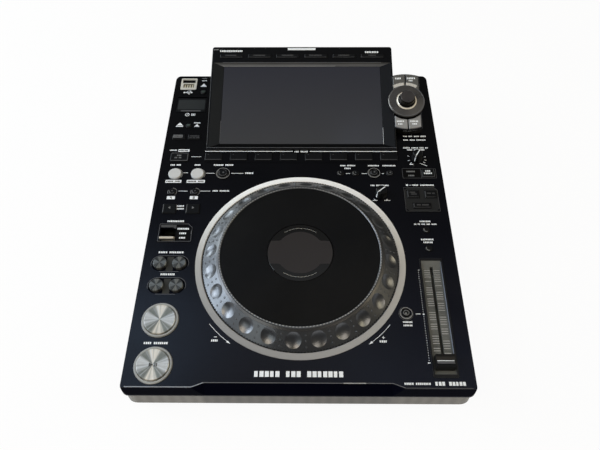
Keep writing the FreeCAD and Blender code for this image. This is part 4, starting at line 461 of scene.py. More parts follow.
class Sheet:
    """Gathers small raised shapes on one surface into one mesh."""

    def __init__(self, level=0.0, place=PANEL):
        self.level = level
        self.place = place
        self.verts = []
        self.faces = []

    def at(self, level):
        """Moves to another level for the shapes that follow."""
        self.level = level
        return self

    def solid(self, lower, upper):
        """Two rings of points, counterclockwise from above, closed into a solid."""
        first, count = len(self.verts), len(lower)
        self.verts += [self.place @ Vector(point) for point in lower + upper]
        self.faces.append([first + index for index in reversed(range(count))])
        self.faces.append([first + count + index for index in range(count)])
        for index in range(count):
            after = (index + 1) % count
            self.faces.append([first + index, first + after, first + count + after, first + count + index])
        return self

    def prism(self, outline, base, top):
        """An outline, counterclockwise, raised from base to top."""
        return self.solid([(x, y, base) for x, y in outline], [(x, y, top) for x, y in outline])

    def slab(self, corners, thick):
        """A flat plate of four points, counterclockwise from above, thickened upwards."""
        lower = [Vector(corner) for corner in corners]
        lift = (lower[1] - lower[0]).cross(lower[2] - lower[0]).normalized() * thick
        return self.solid(lower, [corner + lift for corner in lower])

    def stud(self, point, normal, radius, rise, count=10):
        """A small cone stump on a sloping face."""
        point, normal = Vector(point), Vector(normal).normalized()
        side = normal.cross(Vector((0.0, 0.0, 1.0))).normalized()
        other = normal.cross(side)
        rings = []
        for reach, level in ((radius, -0.15), (radius * 0.7, rise)):
            rings.append([point + (side * math.cos(turn) + other * math.sin(turn)) * reach + normal * level
                          for turn in turns(count)])
        return self.solid(*rings)

    def band(self, centre, profile, count=96):
        """A closed profile of (radius, level) points swept round centre."""
        first, size = len(self.verts), len(profile)
        for angle in turns(count):
            for radius, level in profile:
                self.verts.append(self.place @ Vector((*polar(centre, radius, angle), level)))
        for row in range(count):
            here, there = first + row * size, first + (row + 1) % count * size
            for index in range(size):
                other = (index + 1) % size
                self.faces.append([here + index, there + index, there + other, here + other])
        return self

    def ink(self, outline, lift=INK):
        return self.prism(outline, self.level - SINK, self.level + lift)

    def bar(self, x0, x1, y0, y1, round_by=0.0):
        return self.ink(plate(x0, x1, y0, y1, round_by))

    def rule(self, x0, x1, y, tall, round_by=0.0):
        """A bar given by its middle line and its height."""
        return self.bar(x0, x1, y - tall / 2, y + tall / 2, round_by)

    def line(self, start, end, width):
        a, b = Vector(start), Vector(end)
        along = b - a
        side = Vector((-along.y, along.x)).normalized() * width / 2
        return self.ink([tuple(a - side), tuple(b - side), tuple(b + side), tuple(a + side)])

    def outline(self, corners, width):
        """A thin closed line along corners."""
        for start, end in zip(corners, corners[1:] + corners[:1]):
            self.line(start, end, width)
        return self

    def dot(self, x, y, radius):
        return self.ink([polar((x, y), radius, turn) for turn in turns(20)])

    def arrow(self, tip, angle, size, spread):
        """A triangle that points along angle, in degrees."""
        along = math.radians(angle)
        back = polar(tip, -size, along)
        x, y = -math.sin(along) * size * spread, math.cos(along) * size * spread
        return self.ink([tip, (back[0] + x, back[1] + y), (back[0] - x, back[1] - y)])

    def arc(self, centre, inner, outer, start=0.0, end=360.0):
        """A flat band round centre between two angles in degrees."""
        count = max(2, int(abs(end - start) / 4.0))
        turns = [math.radians(start + (end - start) * index / count) for index in range(count + 1)]
        for first, last in zip(turns, turns[1:]):
            self.tooth(centre, inner, outer, first, last, self.level - SINK, self.level + INK)
        return self

    def ribs(self, centre, count, corners, base, top):
        """Upright ribs round a knob; corners are pairs of radius and angle."""
        for turn in turns(count):
            self.prism([polar(centre, reach, turn + lean) for reach, lean in corners], base, top)
        return self

    def tooth(self, centre, inner, outer, first, last, base, top):
        """A block between two radii and two angles."""
        return self.prism([polar(centre, inner, first), polar(centre, outer, first),
                           polar(centre, outer, last), polar(centre, inner, last)], base, top)

    def teeth(self, count, share, inner, outer, base, top):
        """Blocks round the wheel, each as wide as a share of their pitch."""
        for first, last in zip(turns(count), turns(count, share)):
            self.tooth(JOG, inner, outer, first, last, base, top)
        return self

    def words(self, x0, x1, y, tall, gaps=()):
        """A row of plain blocks as long and as high as a line of small print."""
        count = max(2, round((x1 - x0) / (tall * 0.86)))
        step = (x1 - x0) / count
        for index in range(count):
            if index not in gaps:
                left = x0 + index * step
                self.rule(left, left + step * (0.78 if index % 3 else 0.66), y, tall)
        return self

    def key_edges(self, centre, size, width, sides):
        """Painted highlights along a key's arrises: f front, l left, r right, b back."""
        x0, x1 = centre[0] - size[0] / 2, centre[0] + size[0] / 2
        y0, y1 = centre[1] - size[1] / 2, centre[1] + size[1] / 2
        inset, edge = 1.0, 0.7
        bars = {"f": (x0 + inset, x1 - inset, y0 + edge, y0 + edge + width),
                "b": (x0 + inset, x1 - inset, y1 - edge - width, y1 - edge),
                "l": (x0 + edge, x0 + edge + width, y0 + inset, y1 - inset),
                "r": (x1 - edge - width, x1 - edge, y0 + inset, y1 - inset)}
        for side in sides:
            self.bar(*bars[side])
        return self

    def digit(self, strokes, centre, tall):
        """A plain figure of straight strokes, given as x0, x1, y0, y1 in half heights."""
        half, pen = tall / 2, tall * 0.09
        for stroke in strokes:
            x0, x1, y0, y1 = (value * half for value in stroke)
            self.bar(centre[0] + x0 - pen, centre[0] + x1 + pen,
                     centre[1] + y0 - pen, centre[1] + y1 + pen)
        return self

    def build(self, name, coat, body=ROOT, slot=None):
        material, usual = coat
        mesh = bpy.data.meshes.new(name)
        mesh.from_pydata(self.verts, [], self.faces)
        mesh.update()
        made = add_object(name, mesh)
        mesh.materials.append(material)
        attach(made, body)


# ------------------------ print on the panel
# rows of small print: left, right, distance from the front edge, height, gaps
LABELS = (
    (-130.0, -123.4, 409.0, 1.5), (-156.4, -147.8, 288.3, 1.8), (-152.7, -140.0, 265.4, MAJOR, (3,)),
    (-124.2, -117.0, 265.4, MAJOR), (-101.6, -78.4, 265.4, MAJOR, (6,)), (-63.8, -54.2, 253.2, MAJOR),
    (-99.4, -80.4, 227.2, SMALL, (4,)), (-137.6, -129.4, 205.8, SMALL), (-137.2, -129.2, 202.0, SMALL),
    (-145.4, -126.5, 185.2, MAJOR), (-149.2, -122.6, 145.2, MAJOR, (5,)), (-143.5, -128.5, 118.6, MAJOR),
    (-149.0, -125.5, 43.2, MAJOR, (4,)), (-84.2, -77.4, 46.1, MAJOR), (78.0, 85.4, 45.9, MAJOR),
    (124.9, 152.4, 310.9, SMALL, (3, 7, 12)), (124.3, 151.4, 304.9, SMALL, (4, 9)),
    (123.2, 152.8, 292.4, SMALL, (5, 11, 15)), (127.4, 148.6, 289.2, SMALL, (4,)),
    (128.7, 135.5, 235.9, SMALL), (137.3, 153.5, 235.9, SMALL), (131.4, 143.6, 185.7, SMALL),
    (124.8, 149.5, 182.0, 1.6, (2, 5, 9, 13)), (130.4, 144.0, 162.2, SMALL), (132.5, 142.6, 158.6, SMALL),
    (46.8, 64.8, 264.7, SMALL, (4,)), (51.6, 59.2, 260.5, SMALL), (79.4, 92.4, 264.7, SMALL),
    (96.4, 111.8, 264.7, SMALL), (80.6, 101.8, 235.4, SMALL, (3,)), (102.2, 111.8, 66.1, 1.7),
    (102.4, 111.4, 62.6, 1.7), (-132.4, -124.4, 333.2, 1.7),
)
# rows in the lever's window, which stand on its frame
LEVER_LABELS = ((-132.8, -119.8, 174.7, 2.2), (-130.2, -122.2, 168.8, 2.2), (-129.8, -122.6, 163.1, 2.0))
# thin rules: start, end, distance from the front edge
RULES = ((-136.3, -130.6, 253.6), (-109.8, -99.6, 252.9), (-80.2, -66.0, 252.9), (-138.6, -128.0, 226.8),
         (-113.6, -102.2, 226.9), (-129.8, -117.8, 278.1), (53.1, 58.0, 252.8), (71.0, 78.0, 252.8),
         (94.5, 97.5, 252.8), (81.6, 87.2, 214.1), (95.0, 101.6, 214.1), (115.6, 120.4, 74.9))
# white title boxes, then the dark rows in them
BOXES = ((-155.3, -136.9, 240.9, 4.2), (-130.8, -109.8, 240.9, 4.2), (-150.5, -141.3, 217.4, 4.4),
         (-124.6, -115.4, 217.5, 4.4), (-146.2, -132.9, 287.8, 3.9))
BOX_LABELS = ((-154.2, -138.0, 240.9, 1.9, (5,)), (-129.6, -111.0, 240.9, 1.9, (6,)),
              (-145.2, -133.9, 287.8, 1.8))
# small signs: triangles as tip, angle, size and spread; bars as x0, x1, y0, y1; strokes; dots
TRIANGLES = (((-127.1, 403.6), 90, 4.6, 0.75), ((-149.8, 333.6), 90, 4.8, 0.85),
             ((-128.4, 331.2), 90, 3.2, 0.8), ((-139.6, 387.0), 0, 2.8, 0.6))
SIGN_BARS = (
    (-131.0, -123.2, 397.6, 398.5), (-154.2, -145.4, 326.6, 327.7), (-131.6, -125.2, 326.6, 327.5),
    (-137.6, -132.6, 348.4, 349.0), (-137.6, -132.6, 345.6, 346.2), (-137.6, -137.0, 345.6, 349.0),
    (-133.2, -132.6, 345.6, 349.0), (-136.2, -134.0, 346.8, 347.8), (-150.6, -142.2, 386.6, 387.4),
    (-145.2, -143.6, 383.7, 385.1), (-82.0, -79.0, 49.5, 50.1), (80.4, 83.2, 49.5, 50.1),
    (81.5, 82.1, 48.4, 51.2), (128.4, 132.6, 266.2, 267.4), (121.2, 123.6, 234.8, 237.0),
    (125.0, 127.2, 235.6, 236.2),
)
STROKES = (((-144.2, 345.6), (-140.8, 349.0)), ((-148.6, 387.0), (-146.4, 389.6)),
           ((-146.4, 389.6), (-143.6, 389.6)), ((-147.4, 387.0), (-145.2, 384.4)),
           ((140.4, 268.6), (148.6, 264.4)))
DOTS = ((-151.0, 387.0, 1.3), (-143.2, 389.6, 0.9), (123.4, 74.6, 0.9))
FOUR = ((-0.5, -0.5, 0.0, 1.0), (-0.5, 0.5, 0.0, 0.0), (0.5, 0.5, 0.0, 1.0), (0.5, 0.5, -1.0, 0.0))
EIGHT = FOUR + ((-0.5, 0.5, 1.0, 1.0), (-0.5, 0.5, -1.0, -1.0), (-0.5, -0.5, -1.0, 0.0))


def panel_print():
    """All white and dark print that lies straight on the panel."""
    ink = Sheet()
    for row in LABELS:
        ink.words(*row)
    for left, right, v in RULES:
        ink.rule(left, right, v, 0.6)
    for box in BOXES:
        ink.rule(*box, round_by=0.5)
    for sign in TRIANGLES:
        ink.arrow(*sign)
    for sign in SIGN_BARS:
        ink.bar(*sign)
    for start, end in STROKES:
        ink.line(start, end, 0.6)
    for x, y, radius in DOTS:
        ink.dot(x, y, radius)
    ink.arc((-142.5, 347.3), 2.0, 2.7)
    # turn marks either side of the wheel
    for start, end, tip, lean in ((219.6, 232.6, 234.6, 324.6), (307.4, 320.4, 305.4, 215.4)):
        ink.arc(JOG, 114.65, 115.1, start, end)
        ink.arrow(polar(JOG, 114.9, math.radians(tip)), lean, 4.2, 0.28)
    # scales of the two knobs
    for u, lean in ((83.4, 130), (98.6, 50)):
        ink.line((u, 216.2), polar((u, 216.2), 2.6, math.radians(lean + 180)), 0.6)
    for angle, reach in ((-38, 2.6), (-15, 2.6), (12, 2.4), (200, 2.4), (225, 2.6), (160, 2.2)):
        inner, outer = (polar(VINYL_KNOB, 9.0 + far, math.radians(angle)) for far in (0.0, reach))
        ink.line(inner, outer, 0.6)
    # tempo scale
    for step in range(41):
        ink.rule(123.0, 123.6 if step % 20 else 124.6, SLIDER_FRONT + RIB_PITCH * step, 0.56)
    ink.at(RIM_TOP)
    for row in LEVER_LABELS:
        ink.words(*row)
    # long rule over the hot cue keys, broken by its title
    ink.at(STRIP_TOP).bar(-114.0, -9.0, 285.9, 286.9).bar(11.2, 115.0, 285.9, 286.9)
    ink.words(-7.0, 9.2, 286.0, MAJOR, (3,)).build("print_white", WHITE)

    Sheet().arc(RESET, 6.9, 7.4).build("print_faint", DIM)

    marks = Sheet(INK)
    for row in BOX_LABELS:
        marks.words(*row)
    marks.digit(FOUR, (-145.9, 217.4), 3.0).digit(EIGHT, (-120.0, 217.5), 3.0).build("print_dark", DARK)


# ------------------------ details
def left_details():
    """Print and painted edge highlights of the keys left of the wheel, and marks on all the round keys, most
    of them painted highlights.
    """
    Sheet(KEY_TOP).bar(-155.0, -143.8, 307.9, 312.3, 0.5).build("mode_print", GREY, "mode_keys_body")
    (Sheet(KEY_TOP).words(-134.4, -123.4, 310.4, 1.6).words(-135.0, -122.8, 307.6, 1.5, (2, 5))
     .build("mode_print_dim", DIM, "mode_keys_body"))
    Sheet(KEY_TOP + INK).words(-154.2, -144.4, 310.1, 1.8).build("mode_print_dark", DARK, "mode_keys_body")
    (Sheet(KEY_TOP).words(-146.6, -141.2, 279.4, 1.8).words(-149.0, -140.8, 275.9, 1.8, (2,))
     .key_edges(SLIP, (21.4, 13.3), 0.4, "bfr").build("slip_print_and_edge_highlights", GREY, "slip_button_body"))

    for name, u, lean, reach in zip(("back", "forward"), LEFT_US, (180, 0), (-1.6, 1.6)):
        (Sheet(KEY_TOP).arrow((u + reach, 203.0), lean, 2.6, 0.7)
         .key_edges((u, BEAT_JUMP_V), (15.2, 13.0), 0.35, "l")
         .build("beat_jump_%s_mark" % name, GREY, "beat_jump_%s_body" % name))

    # painted highlights on the round keys: crescents and a dot on the beat loop keys, and painted highlight
    # arcs and rim lines on the loop, reloop, delete and reset rings
    crescents, rings = Sheet(LOOP_TOP), Sheet()
    for u in LEFT_US:
        crescents.arc((u, BEAT_LOOP_V), 2.7, 3.7, 165, 250).arc((u, BEAT_LOOP_V), 2.9, 3.5, 260, 320)
        crescents.dot(u, 226.4, 0.7)
        rings.arc((u, LOOP_V), 8.2, 8.9, -30, 80)
        rings.arc((u, BEAT_LOOP_V), 5.0, 5.4, -50, 90).arc((u, BEAT_LOOP_V), 5.0, 5.4, 150, 215)
    crescents.build("beat_loop_glints", EDGE, "beat_loop_keys_body", "trim_silver")
    rings.at(RING_TOP)
    for centre, radius in ((RELOOP, 8.2), (DELETE, 7.4), (RESET, 6.5)):
        rings.arc(centre, radius - 0.75, radius - 0.25).arc(centre, radius - 1.5, radius - 1.15, 140, 330)
    rings.build("ring_lines", GLINT)

    # painted highlights on the caps: a bright dot and two arcs
    for name, centre, radius, top in (
            ("reloop", RELOOP, 5.5, RINGED_TOP), ("delete", DELETE, 4.6, RINGED_TOP),
            ("memory", MEMORY, 4.0, SMALL_TOP)):
        (Sheet(top).dot(centre[0] + 0.6, centre[1] + 0.4, 1.1)
         .arc(centre, radius - 1.4, radius - 0.9, 150, 350).arc(centre, radius - 1.3, radius - 1.0, 20, 90)
         .build(name + "_mark", EDGE, name + "_button_body", "lever_cream"))
    # painted highlights on the call and tempo keys, arcs and dots; the stop keys carry print
    calls, tempo, stops = (Sheet(SMALL_TOP) for _ in range(3))
    for u in CALL_US:
        calls.arc((u, CALL_V), 2.4, 3.1, 150, 280).dot(u + 0.3, 253.9, 0.6)
    calls.build("call_marks", GREY, "call_keys_body")
    for v in RANGE_VS:
        tempo.arc((RANGE_U, v), 2.3, 3.0, 150, 290)
    (tempo.at(RINGED_TOP).arc(RESET, 2.3, 2.9).dot(105.6, 74.4, 1.1)
     .build("tempo_marks", GREY, "tempo_keys_body"))
    for u, v in STOPS:
        stops.words(u - 2.4, u + 2.2, v + 0.9, 1.1).bar(u - 1.8, u + 1.6, v - 1.3, v - 0.7)
    stops.build("stop_marks", STOP_INK, "media_stop_keys_body")


def direction_details():
    """Frame lines painted as highlights, dark window and flap of the direction lever, and a dark sheet of
    painted shade in its well.
    """
    # painted highlights along the frame's raised rim
    (Sheet(RIM_TOP).outline(cut_plate(-152.6, -117.0, 158.7, 181.1, 4.6), 0.45)
     .line((-117.4, 168.0), (-117.4, 172.0), 0.8).build("direction_lines", EDGE))
    (Sheet().bar(-134.2, -118.6, 160.0, 176.6).bar(-134.2, -122.6, 176.6, 179.6)
     .build("direction_field", BLACK_AND_SHADE))
    (Sheet().ink(plate(-151.4, -138.0, 177.0, 180.2), 0.35)
     .ink([(-138.0, 177.0), (-134.6, 175.0), (-134.6, 180.2), (-138.0, 180.2)], 0.2)
     .build("direction_flap", DIM))
    # a dark sheet of painted shade in the lever's well
    (Sheet().prism(plate(-151.1, -134.5, 159.0, 176.0), LEVER_FLOOR, LEVER_FLOOR + 0.35)
     .build("lever_well_painted_shade", BLACK_AND_SHADE))


def right_details():
    """Jog mode window and key, and the plate and keys beneath them."""
    (Sheet(MODE_TOP).outline(plate(118.7, 157.3, 245.9, 260.0), 0.45).bar(139.9, 140.4, 246.4, 259.6)
     .build("jog_mode_frame", DIM))
    (Sheet(MODE_TOP).bar(119.6, 139.2, 246.9, 259.0)
     .build("jog_mode_field", BLACK_AND_SHADE, ROOT, "display_window"))
    (Sheet(MODE_TOP + INK).words(123.6, 133.6, 255.6, 2.0).words(125.2, 132.6, 249.6, 2.0)
     .build("jog_mode_rows", GREY))
    (Sheet(KEY_TOP).words(145.4, 151.4, 256.0, 2.1).words(143.4, 153.0, 252.6, 2.1)
     .build("jog_mode_print", WHITE, "jog_mode_button_body"))
    # painted highlights along the key's front and right arrises
    (Sheet(KEY_TOP).key_edges(JOG_MODE, (14.8, 12.2), 0.4, "fr")
     .build("jog_mode_edges", EDGE, "jog_mode_button_body"))

    # the plate is laid in pieces round its three keys, so that they can sink through it
    face = Sheet(RIM_TOP)
    for corners in (
            [(118.3, 227.9), (155.3, 227.9), (155.3, 228.2), (151.7, 231.8), (121.9, 231.8), (118.3, 228.2)],
            plate(118.3, 120.7, 216.5, 227.9), plate(134.9, 140.5, 216.5, 227.9),
            plate(154.7, 155.3, 216.5, 227.9), plate(118.3, 155.3, 210.4, 216.5),
            [(118.9, 202.2), (126.0, 202.2), (126.0, 210.4), (118.3, 210.4), (118.3, 202.8)],
            [(146.4, 202.2), (154.7, 202.2), (155.3, 202.8), (155.3, 210.4), (146.4, 210.4)],
            [(121.9, 199.2), (151.7, 199.2), (154.7, 202.2), (118.9, 202.2)]):
        face.ink(corners)
    face.build("sync_plate_face", PLATE)
    (Sheet(RIM_TOP).outline(cut_plate(118.0, 155.6, 198.9, 232.1, 3.8), 0.4)
     .build("sync_plate_rim", DIM))
    keys = Sheet(SYNC_TOP)
    keys.words(124.0, 130.2, 224.4, 1.6).words(125.2, 131.8, 221.8, 1.5)
    keys.words(143.6, 152.2, 223.0, 1.6, (3,)).words(130.4, 143.6, 206.8, 1.7, (3,))
    # painted highlights along the keys' left and front arrises
    for centre, size in SYNC_KEYS:
        keys.key_edges(centre, size, 0.4, "lf")
    keys.build("sync_print_and_edge_highlights", DIM, "sync_keys_body")


def knob_details():
    """Pointer line and ribs of the two small knobs."""
    for name, centre, radius, pointer in (("vinyl_speed_knob", VINYL_KNOB, 6.5, 60),
                                          ("jog_adjust_knob", JOG_KNOB, 7.0, 40)):
        crown, angle = radius - 1.0, math.radians(pointer)
        back = angle + math.pi
        across = Vector((-math.sin(back), math.cos(back), 0.0)) * 0.55
        high = Vector((*polar(centre, crown + 0.05, back), KNOB_TOP - 0.3))
        low = Vector((*polar(centre, radius + 0.05, back), 1.4))
        (Sheet(KNOB_TOP).line(polar(centre, crown - 0.6, back), polar(centre, crown - 0.6, angle), 1.0)
         .slab([low - across, low + across, high + across, high - across], 0.12)
         .build(name + "_pointer", WHITE, name + "_body"))
        foot, ridge = crown + 0.25, crown + 0.53
        (Sheet().ribs(centre, 18, ((foot, -0.05), (ridge, -0.04), (ridge, 0.04), (foot, 0.05)), 1.2, 8.6)
         .build(name + "_ribs", (KEY_DARK, "cap_dark"), name + "_body"))


def strip_details():
    """Painted highlights along the front arrises, and small lamps, of the hot cue keys."""
    for index in range(HOT_CUES):
        u = JOG[0] + HOT_CUE_PITCH * (index - (HOT_CUES - 1) / 2)
        (Sheet(HOT_CUE_TOP).key_edges((u, HOT_CUE_V), (20.5, 11.5), 0.45, "f")
         .dot(u - 6.6, HOT_CUE_V + 2.9, 0.5)
         .build("hot_cue_%d_edge" % (index + 1), EDGE, "hot_cue_%d_body" % (index + 1)))


def slider_details():
    """Ribs of the channel painted bright as highlights, its side wall painted as a bluish reflection, and
    the print and a painted reflection band on the cap.
    """
    # painted highlights: the channel's ribs are coloured bright, with some left out
    ribs = Sheet()
    middle = SLIDER[0]
    gaps = {3, 4, 7, 12, 13, 17, 22, 23, 28, 33, 34, 36}
    for index in range(4, 41):
        v = SLIDER_FRONT + RIB_PITCH * index
        for x0, x1, shift in ((-8.2, -1.7, 0), (1.7, 8.2, 2)):
            if index + shift not in gaps:
                outline = plate(middle + x0, middle + x1, v - 0.4, v + 0.4)
                ribs.prism(outline, CHANNEL_FLOOR, CHANNEL_FLOOR + 0.11)
    ribs.build("channel_ribs", GLINT)
    # painted reflection on the channel's side wall
    Sheet().prism(plate(147.45, 147.68, 34.0, 134.0), -1.6, 0.5).build("channel_wall", CHANNEL_WALL)
    Sheet().prism(plate(129.2, 145.4, 24.0, 25.4), 5.96, 6.14).build("cap_line", WHITE, "tempo_cap_body")
    # painted reflection band across the cap's front slope
    (Sheet().slab([(129.2, 21.3, 7.42), (145.4, 21.3, 7.42), (145.4, 23.9, 6.32), (129.2, 23.9, 6.32)], 0.1)
     .build("cap_band", EDGE, "tempo_cap_body"))
    Sheet().dot(122.6, 24.6, 0.8).build("tempo_dot", WHITE)


def jog_details():
    """Studs between the dimples, teeth at both rims of the cone, and the picture on the display."""
    outer, inner, foot, head, dimples, phase = 102.4, 84.4, 1.0, 15.0, 24, 11.4
    fall = (head - foot) / (outer - inner)
    studs = Sheet()
    for angle in turns(dimples, 0.5 + phase * dimples / 360.0):
        for radius in (98.9, 94.2, 89.6):
            lean = (math.cos(angle) * fall, math.sin(angle) * fall, 1.0)
            studs.stud((*polar(JOG, radius, angle), foot + (outer - radius) * fall), lean, 1.25, 0.5)
    studs.build("jog_studs", STUD, WHEEL)
    Sheet().teeth(210, 0.5, 101.4, 102.85, 0.35, 1.55).build("jog_knurl", KNURL, WHEEL)
    (Sheet().band(JOG, [(82.7, 15.85), (83.9, 15.85), (83.7, 15.99), (82.9, 15.99)], 128)
     .build("jog_crown", CROWN, WHEEL))
    (Sheet().teeth(160, 0.45, 82.75, 83.75, 15.9, 16.06)
     .build("jog_crown_teeth", GLINT, WHEEL, "jog_rubberised"))
    (Sheet().band(JOG, [(84.5, 14.8), (86.8, 13.1), (86.8, 13.6), (84.5, 15.15)], 128)
     .build("jog_ledge", LEDGE, WHEEL))
    edge = [polar(JOG, max(24.8, min(33.2, 13.8 / max(1e-3, abs(math.sin(turn))))), turn)
            for turn in turns(90)]
    Sheet(WINDOW_TOP).ink(edge, 0.03).build("display_graphic", GRAPHIC)
    ticks = Sheet(WINDOW_TOP)
    for middle in (90, 270):
        for index in range(-12, 13):
            ticks.dot(*polar(JOG, 29.2, math.radians(middle + index * 2.8)), 0.34)
    ticks.build("display_ticks", TICK)


def bezel_line(share, side):
    """Across, front, rear and level of the bezel, from the glass (0) to its outer line (1)."""
    half = GLASS_HALF + (BEZEL_HALF - GLASS_HALF) * share
    return MID_U + side * half, 8.5 - 6.3 * share, 117.3 + 4.3 * share, -3.0 + 3.0 * share


def housing_details():
    """Print, key lines with painted highlights, and the bezel's walls in painted light and shade, with
    painted highlights along the edges and a painted glint on the glass.
    """
    (Sheet(0.0, SCREEN).bar(-16.8, 18.5, 140.2, 143.3).words(-103.1, -73.8, 138.8, 2.6)
     .words(81.3, 98.4, 137.1, 2.6).build("housing_marks", WHITE))
    Sheet(0.0, SCREEN).words(-110.9, -104.4, 140.9, 1.8).build("housing_marks_small", GREY)
    keys = Sheet(MENU_TOP, SCREEN)
    for x0, x1 in ((-95.6, -81.7), (-60.1, -45.1), (-24.2, -9.4), (10.6, 26.3), (47.5, 61.5), (85.5, 94.9)):
        keys.words(x0, x1, 131.9, 1.7)
    # painted highlights along the keys' front edges
    for x0, x1 in ((-101.8, -73.9), (-65.7, -39.1), (-31.5, -4.9), (4.5, 32.3), (39.9, 67.7), (75.9, 103.6)):
        keys.bar(x0, x1, 128.9, 129.35)
    keys.build("menu_key_print_and_edge_highlights", DIM, "menu_keys_body")
    # the bezel's rear wall in bands of painted light and shade: brightest by the glass, darker towards its
    # outer line and at the right end of the foot
    for name, low, high, left, right, coat in (
            ("top", 0.62, 0.98, -1.0, 1.0, WALL_DIM), ("middle", 0.3, 0.62, -1.0, 1.0, WALL_MID),
            ("foot", 0.04, 0.3, -1.0, 0.42, WALL_LIT), ("foot_end", 0.04, 0.3, 0.42, 1.0, WALL_MID)):
        corners = [bezel_line(share, side) for share, side in
                   ((low, right), (high, right), (high, left), (low, left))]
        (Sheet(0.0, SCREEN).slab([(u, rear, level) for u, _, rear, level in corners], 0.1)
         .build("bezel_rear_" + name, coat))
    # the bezel's side walls in painted shade
    for name, side, coat in (("left", -1, WALL_LEFT), ("right", 1, WALL_RIGHT)):
        (u0, front0, rear0, low), (u1, front1, rear1, high) = (bezel_line(share, side)
                                                               for share in (0.04, 0.98))
        corners = [(u0, front0, low), (u1, front1, high), (u1, rear1, high), (u0, rear0, low)]
        Sheet(0.0, SCREEN).slab(corners[::side], 0.08).build("bezel_wall_" + name, coat)
    # painted highlights along the housing's and the glass's edges, and a white painted glint on the glass
    (Sheet(0.0, SCREEN).bar(-98.6, 101.0, 121.5, 121.95).bar(-112.4, 114.6, 1.9, 2.35)
     .bar(-112.3, -111.9, 6.0, 64.0).build("housing_edges", EDGE, ROOT, "housing_black"))
    (Sheet(GLASS_TOP, SCREEN).bar(99.85, 100.3, 12.0, 70.0).bar(-97.6, -97.15, 9.4, 40.0)
     .build("glass_edges", EDGE, ROOT, "housing_black"))
    (Sheet(GLASS_TOP + 0.03, SCREEN).bar(99.7, 100.4, 8.0, 31.0)
     .build("glass_glint", WHITE, ROOT, "housing_black"))


def browse_print(end, side, *rows):
    text = Sheet(BROWSE_TOP, SCREEN)
    for row in rows:
        text.words(*row)
    text.build("browse_%s_%s_print" % (end, side), WHITE, "browse_key_%s_%s_body" % (end, side))


def island_details():
    """Print and painted highlight bands of the browse keys, and the selector's ring painted bright as its
    reflection, its knurl and a painted highlight along its edge.
    """
    browse_print("rear", "left", (117.2, 125.0, 97.2, 2.4))
    browse_print("rear", "right", (132.0, 142.4, 97.4, 2.4), (134.0, 139.0, 94.1, 1.8))
    # painted highlight bands by the dial on the rear keys
    for side, span in (("left", (93, 123)), ("right", (57, 87))):
        (Sheet(BROWSE_TOP, SCREEN).arc(SELECTOR, 23.7, 27.8, *span)
         .build("browse_rear_%s_band" % side, PALE, "browse_key_rear_%s_body" % side))
    browse_print("front", "left", (116.4, 125.4, 37.0, 2.0), (117.8, 123.4, 33.2, 2.0))
    browse_print("front", "right", (132.4, 142.4, 37.0, 2.0), (135.0, 141.0, 33.4, 2.0))
    # the selector's ring: a real polished ring, its colour painted bright as its reflection
    profile = [(10.7, 6.0), (11.42, 5.2), (12.4, 5.12), (12.4, 5.27), (11.5, 5.4), (10.82, 6.12)]
    Sheet(0.0, SCREEN).band(SELECTOR, profile, 60).build("selector_ring", RING, "selector_knob_body")
    corners = ((8.6, -0.06), (9.0, -0.045), (9.0, 0.045), (8.6, 0.06))
    (Sheet(0.0, SCREEN).ribs(SELECTOR, 30, corners, 8.6, 13.2)
     .build("selector_knurl", (KEY_DARK, "selector_black"), "selector_knob_body"))
    # painted highlight along the flange's edge
    (Sheet(0.0, SCREEN).band(SELECTOR, [(20.6, 5.1), (21.5, 5.1), (21.4, 5.26), (20.7, 5.26)], 72)
     .build("selector_edge", EDGE, "selector_knob_body", "selector_black"))


def media_details():
    """Face of the card door and a painted highlight along its lip, and the floor and contacts of the USB
    socket, with a dark sheet of painted shade in its slot.
    """
    (Sheet().ink(plate(-156.0, -122.0, 356.6, 373.6, 0.8), 0.06)
     .build("door_plate", DOOR, "card_door_body"))
    # painted highlight along the door's lip
    Sheet(LIP_TOP).bar(-151.3, -126.6, 352.7, 354.3).build("door_lip_line", EDGE, "card_door_body")
    contacts = Sheet(CONTACT_FLOOR)
    for u in (-151.4 + 3.2 * index for index in range(4)):
        contacts.ink(plate(u - 0.9, u + 0.9, 396.6, 401.8), 0.3)
    contacts.build("usb_contacts", GOLD)
    Sheet(CONTACT_FLOOR).bar(-153.4, -140.0, 396.1, 402.9).build("usb_recess", OLIVE)
    # a dark sheet of painted shade inside the USB slot
    (Sheet().prism(plate(-155.2, -138.2, 404.3, 410.9), SLOT_FLOOR, SLOT_FLOOR + 0.3)
     .build("usb_slot_shade", BLACK_AND_SHADE, ROOT, "socket_grey"))
    Sheet().words(-130.4, -124.0, 413.4, 1.5).build("media_rows", GREY)


